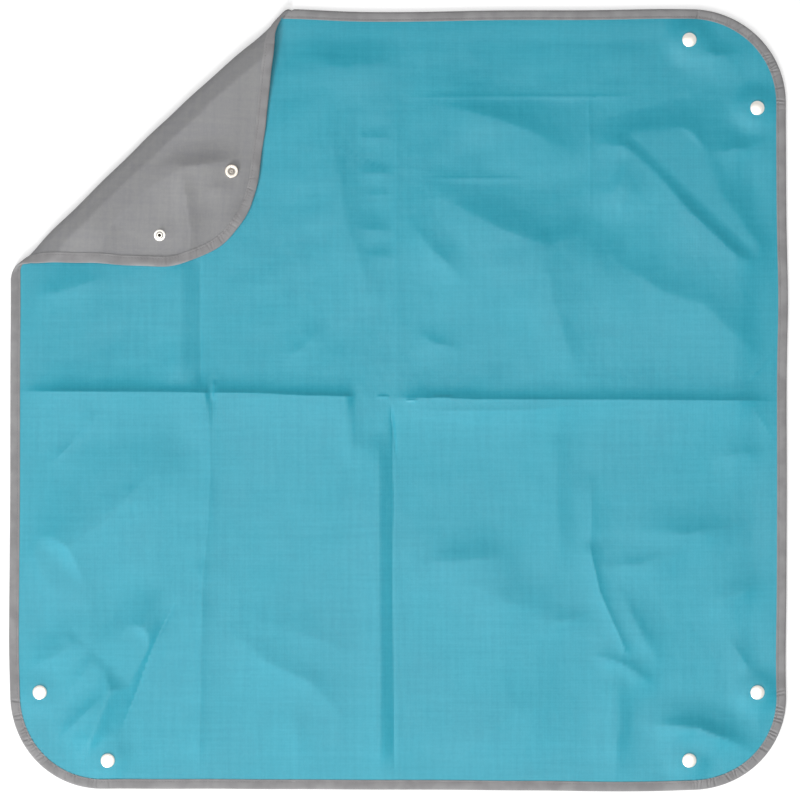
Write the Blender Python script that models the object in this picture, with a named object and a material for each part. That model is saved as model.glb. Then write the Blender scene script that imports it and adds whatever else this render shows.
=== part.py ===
"""Repotting mat with one corner folded over, built from its separate sewn and riveted pieces.

Frame: metres, +Z up. The origin is on the floor under the middle of the open mat, +Y points to the
top edge and +X to the right edge. Every piece is first made lying flat. The sheet is then lifted over
its hardware and its creases, rolled up along the folded corner, and that corner is turned over.
"""
import bpy
import bmesh
from math import copysign, cos, hypot, pi, radians, sin
from mathutils import Matrix, Vector

# Mat, sheet and tape
mat_width = 0.799
mat_length = 0.802
corner_radius = 0.096
corner_steps = 8
face_thickness = 0.0004
backing_thickness = 0.0004
layer_gap = 0.0003
fit_gap = 0.0003
tape_thickness = 0.0005
tape_cover = 0.010
thread_thickness = 0.0006
thread_inset = 0.0078

# Corner folds: where a fold line meets the top or bottom edge, and where it meets a side
fold_along_edge = 0.282
fold_along_side = 0.266
roll_radius = 0.007
hinge_reach = 0.0095
roll_steps = 3
droop = radians(2.5)

# Storage creases
middle_crease_y = 0.004
middle_fold_radius = 0.017
upright_creases_x = (-0.190, -0.003, 0.200)
crease_height = 0.0015
crease_half_width = 0.025
crease_end_inset = 0.080
crease_fold_margin = 0.060

# The sheet's border, which the tape lifts
border_inset = 0.014
border_ramp = 0.026

# Snap fasteners
snap_inset = 0.0305
snap_along = 0.1005
snap_steps = 16
seat_half = 0.008
seat_ramp = 0.008
cap_radius = 0.0074
cap_height = 0.0022
cap_rim = 0.0007
cap_dome_steps = 4
post_radius = 0.0020
post_hole_radius = 0.0023
rivet_radius = 0.0025
rivet_height = 0.0008
plate_thickness = 0.0006
stud_radius = 0.0059
stud_height = 0.0036
stud_neck_radius = 0.0033
stud_bulge_radius = 0.00355
stud_tip_radius = 0.0027
stud_bore_radius = 0.0029
stud_mouth_radius = 0.0017
stud_wall = 0.0005
socket_radius = 0.0068
socket_height = 0.0030
socket_mouth_radius = 0.0037
socket_lip = 0.0004
socket_edge_round = 0.0004
groove_radius = 0.0049
spring_radius = 0.0038
spring_wire_radius = 0.0004
spring_wire_sides = 6
spring_steps = 14
spring_opening = radians(30)
hole_overrun = 0.002

# Derived sizes
sheet_stack = backing_thickness + layer_gap + face_thickness
border_height = tape_thickness + fit_gap
sheet_inset = tape_thickness + fit_gap
tape_top = sheet_stack + fit_gap + tape_thickness
roll_reach = roll_radius + hinge_reach
thread_top = border_height + tape_top + fit_gap + thread_thickness
roll_inner_radius = roll_radius - thread_top
roll_gap_angle = (fit_gap + (roll_reach - roll_inner_radius) * sin(droop)) / roll_inner_radius
roll_gap = roll_reach * roll_gap_angle / (pi / 2)
side_band = 3 * tape_cover

TURQUOISE = (0.082, 0.407, 0.521)
GREY = (0.287, 0.287, 0.290)
TAPE_GREY = (0.292, 0.274, 0.283)
NICKEL = (0.80, 0.79, 0.76)
STEEL = (0.55, 0.56, 0.58)


class Corner:
    """One corner of the mat, with the hinge line that it folds about."""

    def __init__(self, name, side, end):
        self.name = name
        self.side = side
        self.end = end
        half_width = mat_width / 2
        half_length = mat_length / 2
        edge_point = Vector((side * (half_width - fold_along_edge), end * half_length, 0))
        side_point = Vector((side * half_width, end * (half_length - fold_along_side), 0))
        along = (side_point - edge_point).normalized()
        outward = Vector((-along.y, along.x, 0))
        if outward.dot(Vector((side, end, 0))) < 0:
            outward.negate()
        self.outward = outward
        middle = (edge_point + side_point) / 2
        self.pivot = middle + outward * hinge_reach + Vector((0, 0, roll_radius))
        self.turn_axis = outward.cross(Vector((0, 0, 1)))

    def reach(self, point):
        """Distance beyond the hinge line, positive towards the corner."""
        return (Vector((point[0], point[1], 0)) - self.pivot).dot(self.outward)

    def snaps(self):
        """The two snap places: on the top or bottom edge, and on the side."""
        from_side = mat_width / 2
        from_end = mat_length / 2
        on_edge = Vector((self.side * (from_side - snap_along), self.end * (from_end - snap_inset), 0))
        on_side = Vector((self.side * (from_side - snap_inset), self.end * (from_end - snap_along), 0))
        return {"edge": on_edge, "side": on_side}

    def snap_kinds(self):
        """Clockwise round the mat, each corner has its stud first and its socket second."""
        if self.side * self.end < 0:
            return {"edge": "socket", "side": "stud"}
        return {"edge": "stud", "side": "socket"}


TOP_LEFT = Corner("top_left", -1, 1)
TOP_RIGHT = Corner("top_right", 1, 1)
BOTTOM_LEFT = Corner("bottom_left", -1, -1)
BOTTOM_RIGHT = Corner("bottom_right", 1, -1)
CORNERS = (TOP_LEFT, TOP_RIGHT, BOTTOM_LEFT, BOTTOM_RIGHT)
HARDWARE_HEIGHT = {"stud": stud_height, "socket": socket_height}


def edge_inset(x, y):
    """How far a point lies inside the mat's rounded outline."""
    past_x = abs(x) - (mat_width / 2 - corner_radius)
    past_y = abs(y) - (mat_length / 2 - corner_radius)
    outside = hypot(max(past_x, 0), max(past_y, 0))
    return corner_radius - outside - min(max(past_x, past_y), 0)


def ramp(value, start, length):
    """0 before start, 1 after start + length, and straight between them."""
    return min(max((value - start) / length, 0), 1)


def crease_lift(x, y):
    """The low ridges that the storage folds leave in the flat sheet."""
    across = [abs(x - crease_x) for crease_x in upright_creases_x]
    across.append(abs(y - middle_crease_y))
    ridge = 1 - ramp(min(across), 0, crease_half_width)
    inner = ramp(edge_inset(x, y), border_inset + border_ramp, crease_end_inset)
    for corner in CORNERS:
        inner *= 1 - ramp(corner.reach((x, y)), -roll_reach - crease_fold_margin, crease_fold_margin)
    return crease_height * ridge * inner


def snap_lift(x, y):
    """The sheet stands over the stud or socket that is riveted under it."""
    lift = 0
    for corner in CORNERS:
        kinds = corner.snap_kinds()
        for place, centre in corner.snaps().items():
            away = max(abs(x - centre.x), abs(y - centre.y))
            seat = HARDWARE_HEIGHT[kinds[place]] + fit_gap
            lift = max(lift, seat * (1 - ramp(away, seat_half, seat_ramp)))
    return lift


def sheet_height(x, y):
    """Height of the sheet's underside above the floor."""
    border = border_height * (1 - ramp(edge_inset(x, y), border_inset, border_ramp))
    return max(border, snap_lift(x, y), crease_lift(x, y))


def rounded_outline(bm, inset):
    """A flat face with the mat's outline, set in from it, and its round corners."""
    made = bmesh.ops.create_grid(bm, x_segments=1, y_segments=1, size=0.5)
    size = Matrix.Diagonal((mat_width - 2 * inset, mat_length - 2 * inset, 1, 1))
    bmesh.ops.transform(bm, matrix=size, verts=made["verts"])
    bmesh.ops.bevel(bm, geom=made["verts"], offset=corner_radius - inset, segments=corner_steps,
                    affect="VERTICES", profile=0.5, material=-1)


def place_loop(edges, inset, height):
    """Set a loop of outline points in from the mat's edge, and to a height."""
    for vert in {vert for edge in edges for vert in edge.verts}:
        centre = Vector((copysign(mat_width / 2 - corner_radius, vert.co.x),
                         copysign(mat_length / 2 - corner_radius, vert.co.y), 0))
        direction = Vector((vert.co.x - centre.x, vert.co.y - centre.y, 0)).normalized()
        vert.co = centre + direction * (corner_radius - inset) + Vector((0, 0, height))


def ring_solid(profile):
    """A closed ring that carries a profile of (inset, height) points round the outline."""
    bm = bmesh.new()
    rounded_outline(bm, 0)
    bmesh.ops.delete(bm, geom=bm.faces[:], context="FACES_ONLY")
    loop = bm.edges[:]
    place_loop(loop, *profile[0])
    for inset, height in profile[1:] + profile[:1]:
        made = bmesh.ops.extrude_edge_only(bm, edges=loop)["geom"]
        fresh = {item for item in made if isinstance(item, bmesh.types.BMVert)}
        loop = [edge for edge in bm.edges if edge.verts[0] in fresh and edge.verts[1] in fresh]
        place_loop(loop, inset, height)
    bmesh.ops.remove_doubles(bm, verts=bm.verts[:], dist=fit_gap / 100)
    bmesh.ops.recalc_face_normals(bm, faces=bm.faces[:])
    return bm


def cut(bm, point, normal, clear=False):
    """Cut along a plane. With clear, the side that the normal points to is taken away."""
    geometry = bm.verts[:] + bm.edges[:] + bm.faces[:]
    result = bmesh.ops.bisect_plane(bm, geom=geometry, dist=fit_gap / 1000, plane_co=point,
                                    plane_no=normal, clear_outer=clear)
    return [item for item in result["geom_cut"] if isinstance(item, bmesh.types.BMEdge)]


def trim(bm, planes, solid):
    """Keep what lies behind all the planes, and close the cut ends of a solid."""
    for point, normal in planes:
        edges = cut(bm, point, normal, clear=True)
        if solid and edges:
            bmesh.ops.edgeloop_fill(bm, edges=edges)


def cut_roll_lines(bm, corner, outer):
    """Lines along the fold on one side of the hinge line, where the sheet is bent into a roll."""
    for step in range(roll_steps + 1):
        reach = roll_reach * (1 - step / roll_steps)
        line = corner.pivot + corner.outward * (reach if outer else -reach)
        cut(bm, line, corner.outward)


def hinge_plane(corner, outer):
    """The plane on the hinge line that bounds the corner itself, or the sheet inside it."""
    if outer:
        gap = roll_gap if corner is TOP_LEFT else fit_gap
        return corner.pivot + corner.outward * gap, -corner.outward
    return corner.pivot, corner.outward


def middle_plane(upper):
    """The plane on the middle crease that bounds the upper or the lower half."""
    side = 1 if upper else -1
    return Vector((0, middle_crease_y + side * fit_gap / 2, 0)), Vector((0, -side, 0))


def roll_up(bm, corner, outer):
    """Bend the strip beside the hinge line up into a quarter of the roll."""
    sign = 1 if outer else -1
    for vert in bm.verts:
        reach = corner.reach(vert.co)
        past = roll_reach - sign * reach
        if past <= 0:
            continue
        angle = min(past / roll_reach, 1) * pi / 2
        radius = roll_radius - vert.co.z
        new_reach = sign * (roll_reach - radius * sin(angle))
        vert.co += corner.outward * (new_reach - reach)
        vert.co.z = roll_radius - radius * cos(angle)


def lift(bm):
    """Raise every point by the sheet's height below it."""
    for vert in bm.verts:
        vert.co.z += sheet_height(vert.co.x, vert.co.y)


def flat_sheet():
    """The whole sheet as a flat face, with lines at its border."""
    bm = bmesh.new()
    rounded_outline(bm, sheet_inset)
    middle = bm.faces[:]
    for thickness in (border_inset - sheet_inset, border_ramp):
        bmesh.ops.inset_region(bm, faces=middle, thickness=thickness, use_even_offset=True)
    return bm


def cut_crease_lines(bm):
    """Lines on the ridge and at the feet of each upright crease, and beside the middle crease."""
    for crease_x in upright_creases_x:
        for offset in (-crease_half_width, 0, crease_half_width):
            cut(bm, Vector((crease_x + offset, 0, 0)), Vector((1, 0, 0)))
    crease_end = mat_length / 2 - border_inset - border_ramp - crease_end_inset
    for line_y in (-crease_end, middle_crease_y - crease_half_width,
                   middle_crease_y + crease_half_width, crease_end):
        cut(bm, Vector((0, line_y, 0)), Vector((0, 1, 0)))


def cut_seat_lines(bm, corner):
    """Lines round the flat seats of a corner's two snaps."""
    for centre in corner.snaps().values():
        for offset in (-seat_half - seat_ramp, -seat_half, seat_half, seat_half + seat_ramp):
            cut(bm, Vector((centre.x + offset, 0, 0)), Vector((1, 0, 0)))
            cut(bm, Vector((0, centre.y + offset, 0)), Vector((0, 1, 0)))


def layer(bm, bottom, thickness):
    """Make the flat, cut sheet into one layer and lift it to its place."""
    bmesh.ops.triangulate(bm, faces=bm.faces[:])
    for vert in bm.verts:
        vert.co.z = bottom
    made = bmesh.ops.extrude_face_region(bm, geom=bm.faces[:], use_keep_orig=True)
    raised = [item for item in made["geom"] if isinstance(item, bmesh.types.BMVert)]
    bmesh.ops.translate(bm, vec=Vector((0, 0, thickness)), verts=raised)
    lift(bm)


def half_panel(upper, bottom, thickness):
    """One layer of the upper or lower half, without its two corners."""
    bm = flat_sheet()
    corners = [corner for corner in CORNERS if (corner.end > 0) == upper]
    cut_crease_lines(bm)
    planes = [middle_plane(upper)]
    for corner in corners:
        if corner is TOP_LEFT:
            cut_roll_lines(bm, corner, outer=False)
        planes.append(hinge_plane(corner, outer=False))
    trim(bm, planes, solid=False)
    layer(bm, bottom, thickness)
    if upper:
        roll_up(bm, TOP_LEFT, outer=False)
    return bm


def corner_panel(corner, bottom, thickness):
    """One layer of a corner."""
    bm = flat_sheet()
    trim(bm, [hinge_plane(corner, outer=True)], solid=False)
    cut_seat_lines(bm, corner)
    if corner is TOP_LEFT:
        cut_roll_lines(bm, corner, outer=True)
    layer(bm, bottom, thickness)
    if corner is TOP_LEFT:
        roll_up(bm, corner, outer=True)
    return bm


def tape_ring():
    """The binding tape: one strip folded round the edge of the whole sheet."""
    under = -fit_gap
    over = sheet_stack + fit_gap
    profile = ((0, under - tape_thickness), (0, tape_top), (tape_cover, tape_top), (tape_cover, over),
               (tape_thickness, over), (tape_thickness, under), (tape_cover, under),
               (tape_cover, under - tape_thickness))
    return ring_solid(profile)


def thread_ring():
    """The row of sewing thread that holds the tape, just inside its edge."""
    low = tape_top + fit_gap
    half = thread_thickness / 2
    profile = ((thread_inset - half, low + half), (thread_inset, low + thread_thickness),
               (thread_inset + half, low + half), (thread_inset, low))
    return ring_solid(profile)


def ring_length(ring, planes, folded_corner=None, outer=False):
    """A length of the tape or of the thread between cutting planes."""
    bm = ring()
    if folded_corner:
        cut_roll_lines(bm, folded_corner, outer)
    trim(bm, planes, solid=True)
    lift(bm)
    if folded_corner:
        roll_up(bm, folded_corner, outer)
    return bm


def turned(profile, steps, angle=2 * pi):
    """A turned piece from its (radius, height) outline."""
    bm = bmesh.new()
    verts = [bm.verts.new((radius, 0, height)) for radius, height in profile]
    for first, second in zip(verts, verts[1:] + verts[:1]):
        bm.edges.new((first, second))
    full = angle >= 2 * pi
    bmesh.ops.spin(bm, geom=bm.verts[:] + bm.edges[:], cent=Vector(), axis=Vector((0, 0, 1)), dvec=Vector(),
                   angle=angle, steps=steps, use_merge=full, use_duplicate=False)
    bmesh.ops.remove_doubles(bm, verts=bm.verts[:], dist=fit_gap / 100)
    if not full:
        open_edges = [edge for edge in bm.edges if edge.is_boundary]
        bmesh.ops.holes_fill(bm, edges=open_edges)
    loose = [edge for edge in bm.edges if edge.is_wire]
    bmesh.ops.delete(bm, geom=loose, context="EDGES")
    bmesh.ops.recalc_face_normals(bm, faces=bm.faces[:])
    return bm


def snap_cap():
    """A domed cap with its rivet post, from the underside of the dome at height 0."""
    dome = cap_height - cap_rim
    outline = []
    for step in range(cap_dome_steps + 1):
        angle = pi / 2 * step / cap_dome_steps
        outline.append((cap_radius * sin(angle), cap_rim + dome * cos(angle)))
    neck = -(2 * fit_gap + sheet_stack + plate_thickness + fit_gap)
    outline += [(cap_radius, 0), (post_radius, 0), (post_radius, neck), (rivet_radius, neck),
                (rivet_radius, neck - rivet_height / 2), (post_radius, neck - rivet_height),
                (0, neck - rivet_height)]
    return turned(outline, snap_steps)


def snap_stud():
    """A stud with its hollow knob, from the top of its flange at height 0."""
    knob = stud_height - plate_thickness
    outline = [(post_hole_radius, 0), (stud_radius, 0), (stud_radius, -plate_thickness),
               (stud_neck_radius, -plate_thickness), (stud_neck_radius, -plate_thickness - knob / 3),
               (stud_bulge_radius, -plate_thickness - knob * 2 / 3), (stud_tip_radius, -stud_height),
               (stud_mouth_radius, -stud_height), (stud_mouth_radius, -stud_height + stud_wall),
               (stud_bore_radius, -stud_height + 2 * stud_wall), (stud_bore_radius, -plate_thickness),
               (post_hole_radius, -plate_thickness)]
    return turned(outline, snap_steps)


def snap_socket():
    """A socket, open below, with an inner groove for its spring."""
    groove_top = -socket_height + socket_lip + 2 * spring_wire_radius + 2 * fit_gap
    groove_foot = -socket_height + socket_lip
    outline = [(post_hole_radius, 0), (socket_radius - socket_edge_round, 0),
               (socket_radius, -socket_edge_round), (socket_radius, -socket_height + socket_edge_round),
               (socket_radius - socket_edge_round, -socket_height), (socket_mouth_radius, -socket_height),
               (socket_mouth_radius, groove_foot), (groove_radius, groove_foot),
               (groove_radius, groove_top), (socket_mouth_radius, groove_top),
               (socket_mouth_radius, -plate_thickness), (post_hole_radius, -plate_thickness)]
    return turned(outline, snap_steps)


def socket_spring():
    """The open ring of wire that lies in the socket's groove."""
    middle = -socket_height + socket_lip + spring_wire_radius + fit_gap
    outline = []
    for side in range(spring_wire_sides):
        angle = 2 * pi * side / spring_wire_sides
        outline.append((spring_radius + spring_wire_radius * cos(angle),
                        middle + spring_wire_radius * sin(angle)))
    return turned(outline, spring_steps, 2 * pi - spring_opening)


def finish_material(name, colour, roughness, metallic):
    """A piece's own material."""
    material = bpy.data.materials.new(name + "_finish")
    material.use_nodes = True
    shader = material.node_tree.nodes["Principled BSDF"]
    shader.inputs["Base Color"].default_value = (*colour, 1)
    shader.inputs["Roughness"].default_value = roughness
    shader.inputs["Metallic"].default_value = metallic
    return material


def add_piece(name, bm, carrier, location, colour, roughness=0.6, metallic=0.0, smooth=False):
    """An object for one piece. The mesh of a flat-made piece is moved back to its carrier's pivot."""
    mesh = bpy.data.meshes.new(name)
    if location is None:
        bmesh.ops.translate(bm, vec=-pivot_of(carrier), verts=bm.verts)
        location = Vector()
    bmesh.ops.recalc_face_normals(bm, faces=bm.faces[:])
    bm.to_mesh(mesh)
    bm.free()
    if smooth:
        mesh.shade_smooth()
        mesh.set_sharp_from_angle(angle=radians(35))
    piece = bpy.data.objects.new(name, mesh)
    mesh.materials.append(finish_material(name, colour, roughness, metallic))
    bpy.context.scene.collection.objects.link(piece)
    piece.parent = carrier
    piece.location = location
    return piece


PIVOTS = {}


def pivot_of(carrier):
    """Where a carrier's axis is while the mat lies flat."""
    return PIVOTS[carrier.name] if carrier else Vector()


def add_carrier(name, pivot, parent=None):
    """An empty on a joint's axis, which carries what turns about it."""
    empty = bpy.data.objects.new(name, None)
    bpy.context.scene.collection.objects.link(empty)
    empty.parent = parent
    empty.location = pivot - pivot_of(parent)
    PIVOTS[name] = pivot
    return empty


def punch_holes(corner, carrier, sheets):
    """Round holes for the two rivet posts, through both layers of a corner."""
    cutter = bmesh.new()
    for centre in corner.snaps().values():
        depth = 2 * (stud_height + sheet_stack + hole_overrun)
        bmesh.ops.create_cone(cutter, cap_ends=True, segments=snap_steps, radius1=post_hole_radius,
                              radius2=post_hole_radius, depth=depth, matrix=Matrix.Translation(centre))
    guide = add_piece("post_holes_" + corner.name, cutter, carrier, None, STEEL)
    guide.hide_render = True
    guide.display_type = "WIRE"
    for sheet in sheets:
        holes = sheet.modifiers.new("post_holes", "BOOLEAN")
        holes.operation = "DIFFERENCE"
        holes.object = guide


def add_snaps(corner, carrier):
    """The caps, stud, socket and spring of one corner."""
    kinds = corner.snap_kinds()
    for place, centre in corner.snaps().items():
        kind = kinds[place]
        height = HARDWARE_HEIGHT[kind]
        seat = centre - pivot_of(carrier)
        top = seat + Vector((0, 0, height + fit_gap + sheet_stack + fit_gap))
        under = seat + Vector((0, 0, height))
        cap_name = "snap_cap_" + corner.name + "_" + place
        add_piece(cap_name, snap_cap(), carrier, top, NICKEL, 0.22, 1.0, smooth=True)
        if kind == "stud":
            add_piece("snap_stud_" + corner.name, snap_stud(), carrier, under, NICKEL, 0.25, 1.0, smooth=True)
        else:
            add_piece("snap_socket_" + corner.name, snap_socket(), carrier, under, NICKEL, 0.25, 1.0,
                      smooth=True)
            add_piece("socket_spring_" + corner.name, socket_spring(), carrier, under, STEEL, 0.3, 1.0,
                      smooth=True)


def add_sheets(suffix, make, carrier):
    """The backing and the face of one panel."""
    backing = add_piece("backing_" + suffix, make(0, backing_thickness), carrier, None, GREY, 0.7)
    face_bottom = backing_thickness + layer_gap
    face = add_piece("face_" + suffix, make(face_bottom, face_thickness), carrier, None, TURQUOISE, 0.5)
    return backing, face


def add_edge(suffix, planes, carrier, folded_corner=None, outer=False):
    """The tape of one stretch of the edge, with its thread."""
    tape = ring_length(tape_ring, planes, folded_corner, outer)
    thread = ring_length(thread_ring, planes, folded_corner, outer)
    add_piece("binding_" + suffix, tape, carrier, None, TAPE_GREY, 0.8)
    add_piece("thread_" + suffix, thread, carrier, None, TAPE_GREY, 0.6)


def beyond_side(side):
    """The plane that leaves only the band along the left or the right edge."""
    return Vector((side * (mat_width / 2 - side_band), 0, 0)), Vector((-side, 0, 0))


def beyond_end(end):
    """The plane that leaves only the band along the top or the bottom edge."""
    return Vector((0, end * (mat_length / 2 - side_band), 0)), Vector((0, -end, 0))


def add_half(upper, carrier):
    """One half of the mat inside its corners, with its three stretches of edge."""
    name = "upper" if upper else "lower"
    left, right = (TOP_LEFT, TOP_RIGHT) if upper else (BOTTOM_LEFT, BOTTOM_RIGHT)
    add_sheets(name, lambda bottom, thickness: half_panel(upper, bottom, thickness), carrier)
    folded = TOP_LEFT if upper else None
    inside_left = hinge_plane(left, outer=False)
    inside_right = hinge_plane(right, outer=False)
    end_name = "top" if upper else "bottom"
    add_edge(end_name, [beyond_end(left.end), inside_left, inside_right], carrier, folded)
    add_edge("left_" + name, [beyond_side(-1), middle_plane(upper), inside_left], carrier, folded)
    add_edge("right_" + name, [beyond_side(1), middle_plane(upper), inside_right], carrier)


def add_corner(corner, parent):
    """One corner that folds over, carried on its hinge line."""
    carrier = add_carrier("hinge_" + corner.name, corner.pivot, parent)
    folded = TOP_LEFT if corner is TOP_LEFT else None
    sheets = add_sheets(corner.name, lambda bottom, thickness: corner_panel(corner, bottom, thickness), carrier)
    punch_holes(corner, carrier, sheets)
    add_edge(corner.name, [hinge_plane(corner, outer=True)], carrier, folded, outer=True)
    add_snaps(corner, carrier)
    return carrier


def build():
    for old in list(bpy.data.objects):
        bpy.data.objects.remove(old, do_unlink=True)
    middle_pivot = Vector((0, middle_crease_y, middle_fold_radius))
    lower = add_carrier("hinge_middle", middle_pivot)
    add_half(True, None)
    add_half(False, lower)
    folded = add_corner(TOP_LEFT, None)
    add_corner(TOP_RIGHT, None)
    add_corner(BOTTOM_LEFT, lower)
    add_corner(BOTTOM_RIGHT, lower)
    folded.rotation_mode = "QUATERNION"
    folded.rotation_quaternion = Matrix.Rotation(pi + droop, 3, TOP_LEFT.turn_axis).to_quaternion()


build()
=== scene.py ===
import bpy
import bmesh
import math
import numpy as np
from mathutils import Matrix, Vector


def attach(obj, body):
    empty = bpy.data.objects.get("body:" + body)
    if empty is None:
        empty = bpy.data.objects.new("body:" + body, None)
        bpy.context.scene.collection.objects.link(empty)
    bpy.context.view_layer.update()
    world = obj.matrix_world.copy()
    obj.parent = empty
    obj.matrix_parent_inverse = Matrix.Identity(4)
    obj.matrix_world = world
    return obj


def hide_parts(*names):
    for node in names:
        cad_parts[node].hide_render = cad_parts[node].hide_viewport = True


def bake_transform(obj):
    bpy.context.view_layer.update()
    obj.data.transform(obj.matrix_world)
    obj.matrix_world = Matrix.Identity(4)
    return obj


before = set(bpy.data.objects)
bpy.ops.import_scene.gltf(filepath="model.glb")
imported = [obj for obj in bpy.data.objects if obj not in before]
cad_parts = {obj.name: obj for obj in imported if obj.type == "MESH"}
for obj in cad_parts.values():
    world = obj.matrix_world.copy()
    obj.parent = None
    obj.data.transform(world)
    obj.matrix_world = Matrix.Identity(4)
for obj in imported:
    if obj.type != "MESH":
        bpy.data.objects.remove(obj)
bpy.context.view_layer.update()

MM = 0.001

# Camera: lens and sensor in millimetres, and the width and middle of the floor that the photo frames
CAMERA_LENS = 135
CAMERA_SENSOR = 36
VIEW_WIDTH = 0.824
VIEW_MIDDLE = (0.001545, 0.0002)

FLOOR_HALF = 6.0
FLOOR_LEVEL = -0.0004

# Mat, in metres as in the CAD
HALF_WIDTH = 0.3995
HALF_LENGTH = 0.401
CORNER_RADIUS = 0.096
SHEET_INSET = 0.0008
BACKING_THICKNESS = 0.0004
FACE_BOTTOM = 0.0007
SHEET_TOP = 0.0011
BORDER_LIFT = 0.0008
BORDER_WIDTH = 0.012
BORDER_FADE = 0.024
TAPE_WIDTH = 0.0100
STITCH_INSET = 0.0078
STITCH_PITCH = 0.0030
STITCH_SHAPE = (0.00122, 0.00027, 0.00022)
STITCH_HEIGHTS = (0.00262, 0.00008)

# Radius of a pressed crease's edge, and how many widths away from its crest a crease or a swell ends
CREASE_EDGE = 0.0004
CREASE_TAIL = 4.5
SWELL_TAIL = 2.6

# Mean height of the open cloth, and its unevenness: amount, length, number of waves, seed
MEAN_HEIGHT = 0.0012
UNEVENNESS = ((0.0005, 0.150, 9, 4), (0.0002, 0.048, 12, 8))
GRAIN = (0.00004, 0.014, 14, 3)
# Width inside the edge of the mat where the tape holds the cloth down, and the height that it keeps there
EDGE_HOLD = 0.055
EDGE_HEIGHT = 0.0002
# The low ridge all along the middle fold: height, and width above and below it in the photo
RIDGE_HEIGHT = 0.0016
RIDGE_WIDTHS = (0.045, 0.030)
# Greatest height of the cloth on a corner's fold line, and how much more is allowed away from it
FOLD_LINE_HEIGHT = 0.0042
FOLD_LINE_REACH = 0.018
MORE_HEIGHT = 0.012
MORE_HEIGHT_FADE = 0.05
# How softly a limit of height is rounded
LIMIT_ROUNDING = 0.0003

# Folds: where the corners' fold lines meet the edges, the roll that the top left corner makes, how far the
# hinge stands outside the fold, and how far the folded corner droops
FOLD_ALONG_EDGE = 0.282
FOLD_ALONG_SIDE = 0.266
ROLL_RADIUS = 0.007
ROLL_REACH = 0.0165
ROLL_FADE = 0.045
ROLL_CREST = 0.019
FLAP_LIMIT = 0.0141
HINGE_REACH = 0.0095
DROOP = math.radians(2.5)
MIDDLE_Y = 0.004
MIDDLE_RADIUS = 0.017
MIDDLE_REACH = MIDDLE_RADIUS * math.pi / 2

# Where the bending of each other fold would start and end, measured across the fold towards the moving side.
# Most of it is on that side, so that no cloth would go under the floor if it were folded.
CORNER_BEND = (-0.006, 0.014)


def smooth(x):
    """A soft step from 0 to 1."""
    x = np.clip(x, 0.0, 1.0)
    return x * x * (3 - 2 * x)


class Corner:
    """A corner of the mat and the line that it folds about."""

    def __init__(self, name, side, end):
        self.name, self.side, self.end = name, side, end
        edge_point = np.array((side * (HALF_WIDTH - FOLD_ALONG_EDGE), end * HALF_LENGTH))
        side_point = np.array((side * HALF_WIDTH, end * (HALF_LENGTH - FOLD_ALONG_SIDE)))
        along = (side_point - edge_point) / np.linalg.norm(side_point - edge_point)
        outward = np.array((-along[1], along[0]))
        if outward @ np.array((side, end)) < 0:
            outward = -outward
        self.outward = outward
        self.pivot = (edge_point + side_point) / 2 + outward * HINGE_REACH
        self.axis = np.array((outward[1], -outward[0]))
        self.snaps = {
            "edge": (side * (HALF_WIDTH - 0.1005), end * (HALF_LENGTH - 0.0305)),
            "side": (side * (HALF_WIDTH - 0.0305), end * (HALF_LENGTH - 0.1005)),
        }
        self.stud_at = "side" if side * end < 0 else "edge"
        self.half = "upper_half" if end > 0 else "lower_half"
        self.body = "corner_" + name

    def reach(self, u, v):
        return (u - self.pivot[0]) * self.outward[0] + (v - self.pivot[1]) * self.outward[1]

    def along(self, u, v):
        return (u - self.pivot[0]) * self.axis[0] + (v - self.pivot[1]) * self.axis[1]

    def point(self, reach, height=0.0):
        x, y = self.pivot + self.outward * reach
        return (x, y, height)

    def bend(self):
        return [self.point(reach) for reach in CORNER_BEND]


TOP_LEFT = Corner("top_left", -1, 1)
TOP_RIGHT = Corner("top_right", 1, 1)
BOTTOM_LEFT = Corner("bottom_left", -1, -1)
BOTTOM_RIGHT = Corner("bottom_right", 1, -1)
CORNERS = (TOP_LEFT, TOP_RIGHT, BOTTOM_LEFT, BOTTOM_RIGHT)

# Height of the sheet's underside over the floor at a snap, where the stud or socket stands under it, and
# of the stud on the folded corner over the sheet; then how wide a seat is and how it fades
STUD_SEAT = 0.0039
SOCKET_SEAT = 0.0033
FOLDED_STUD_SEAT = 0.0005
SEAT_RADIUS = 0.0085
SEAT_FADE = 0.030


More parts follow.
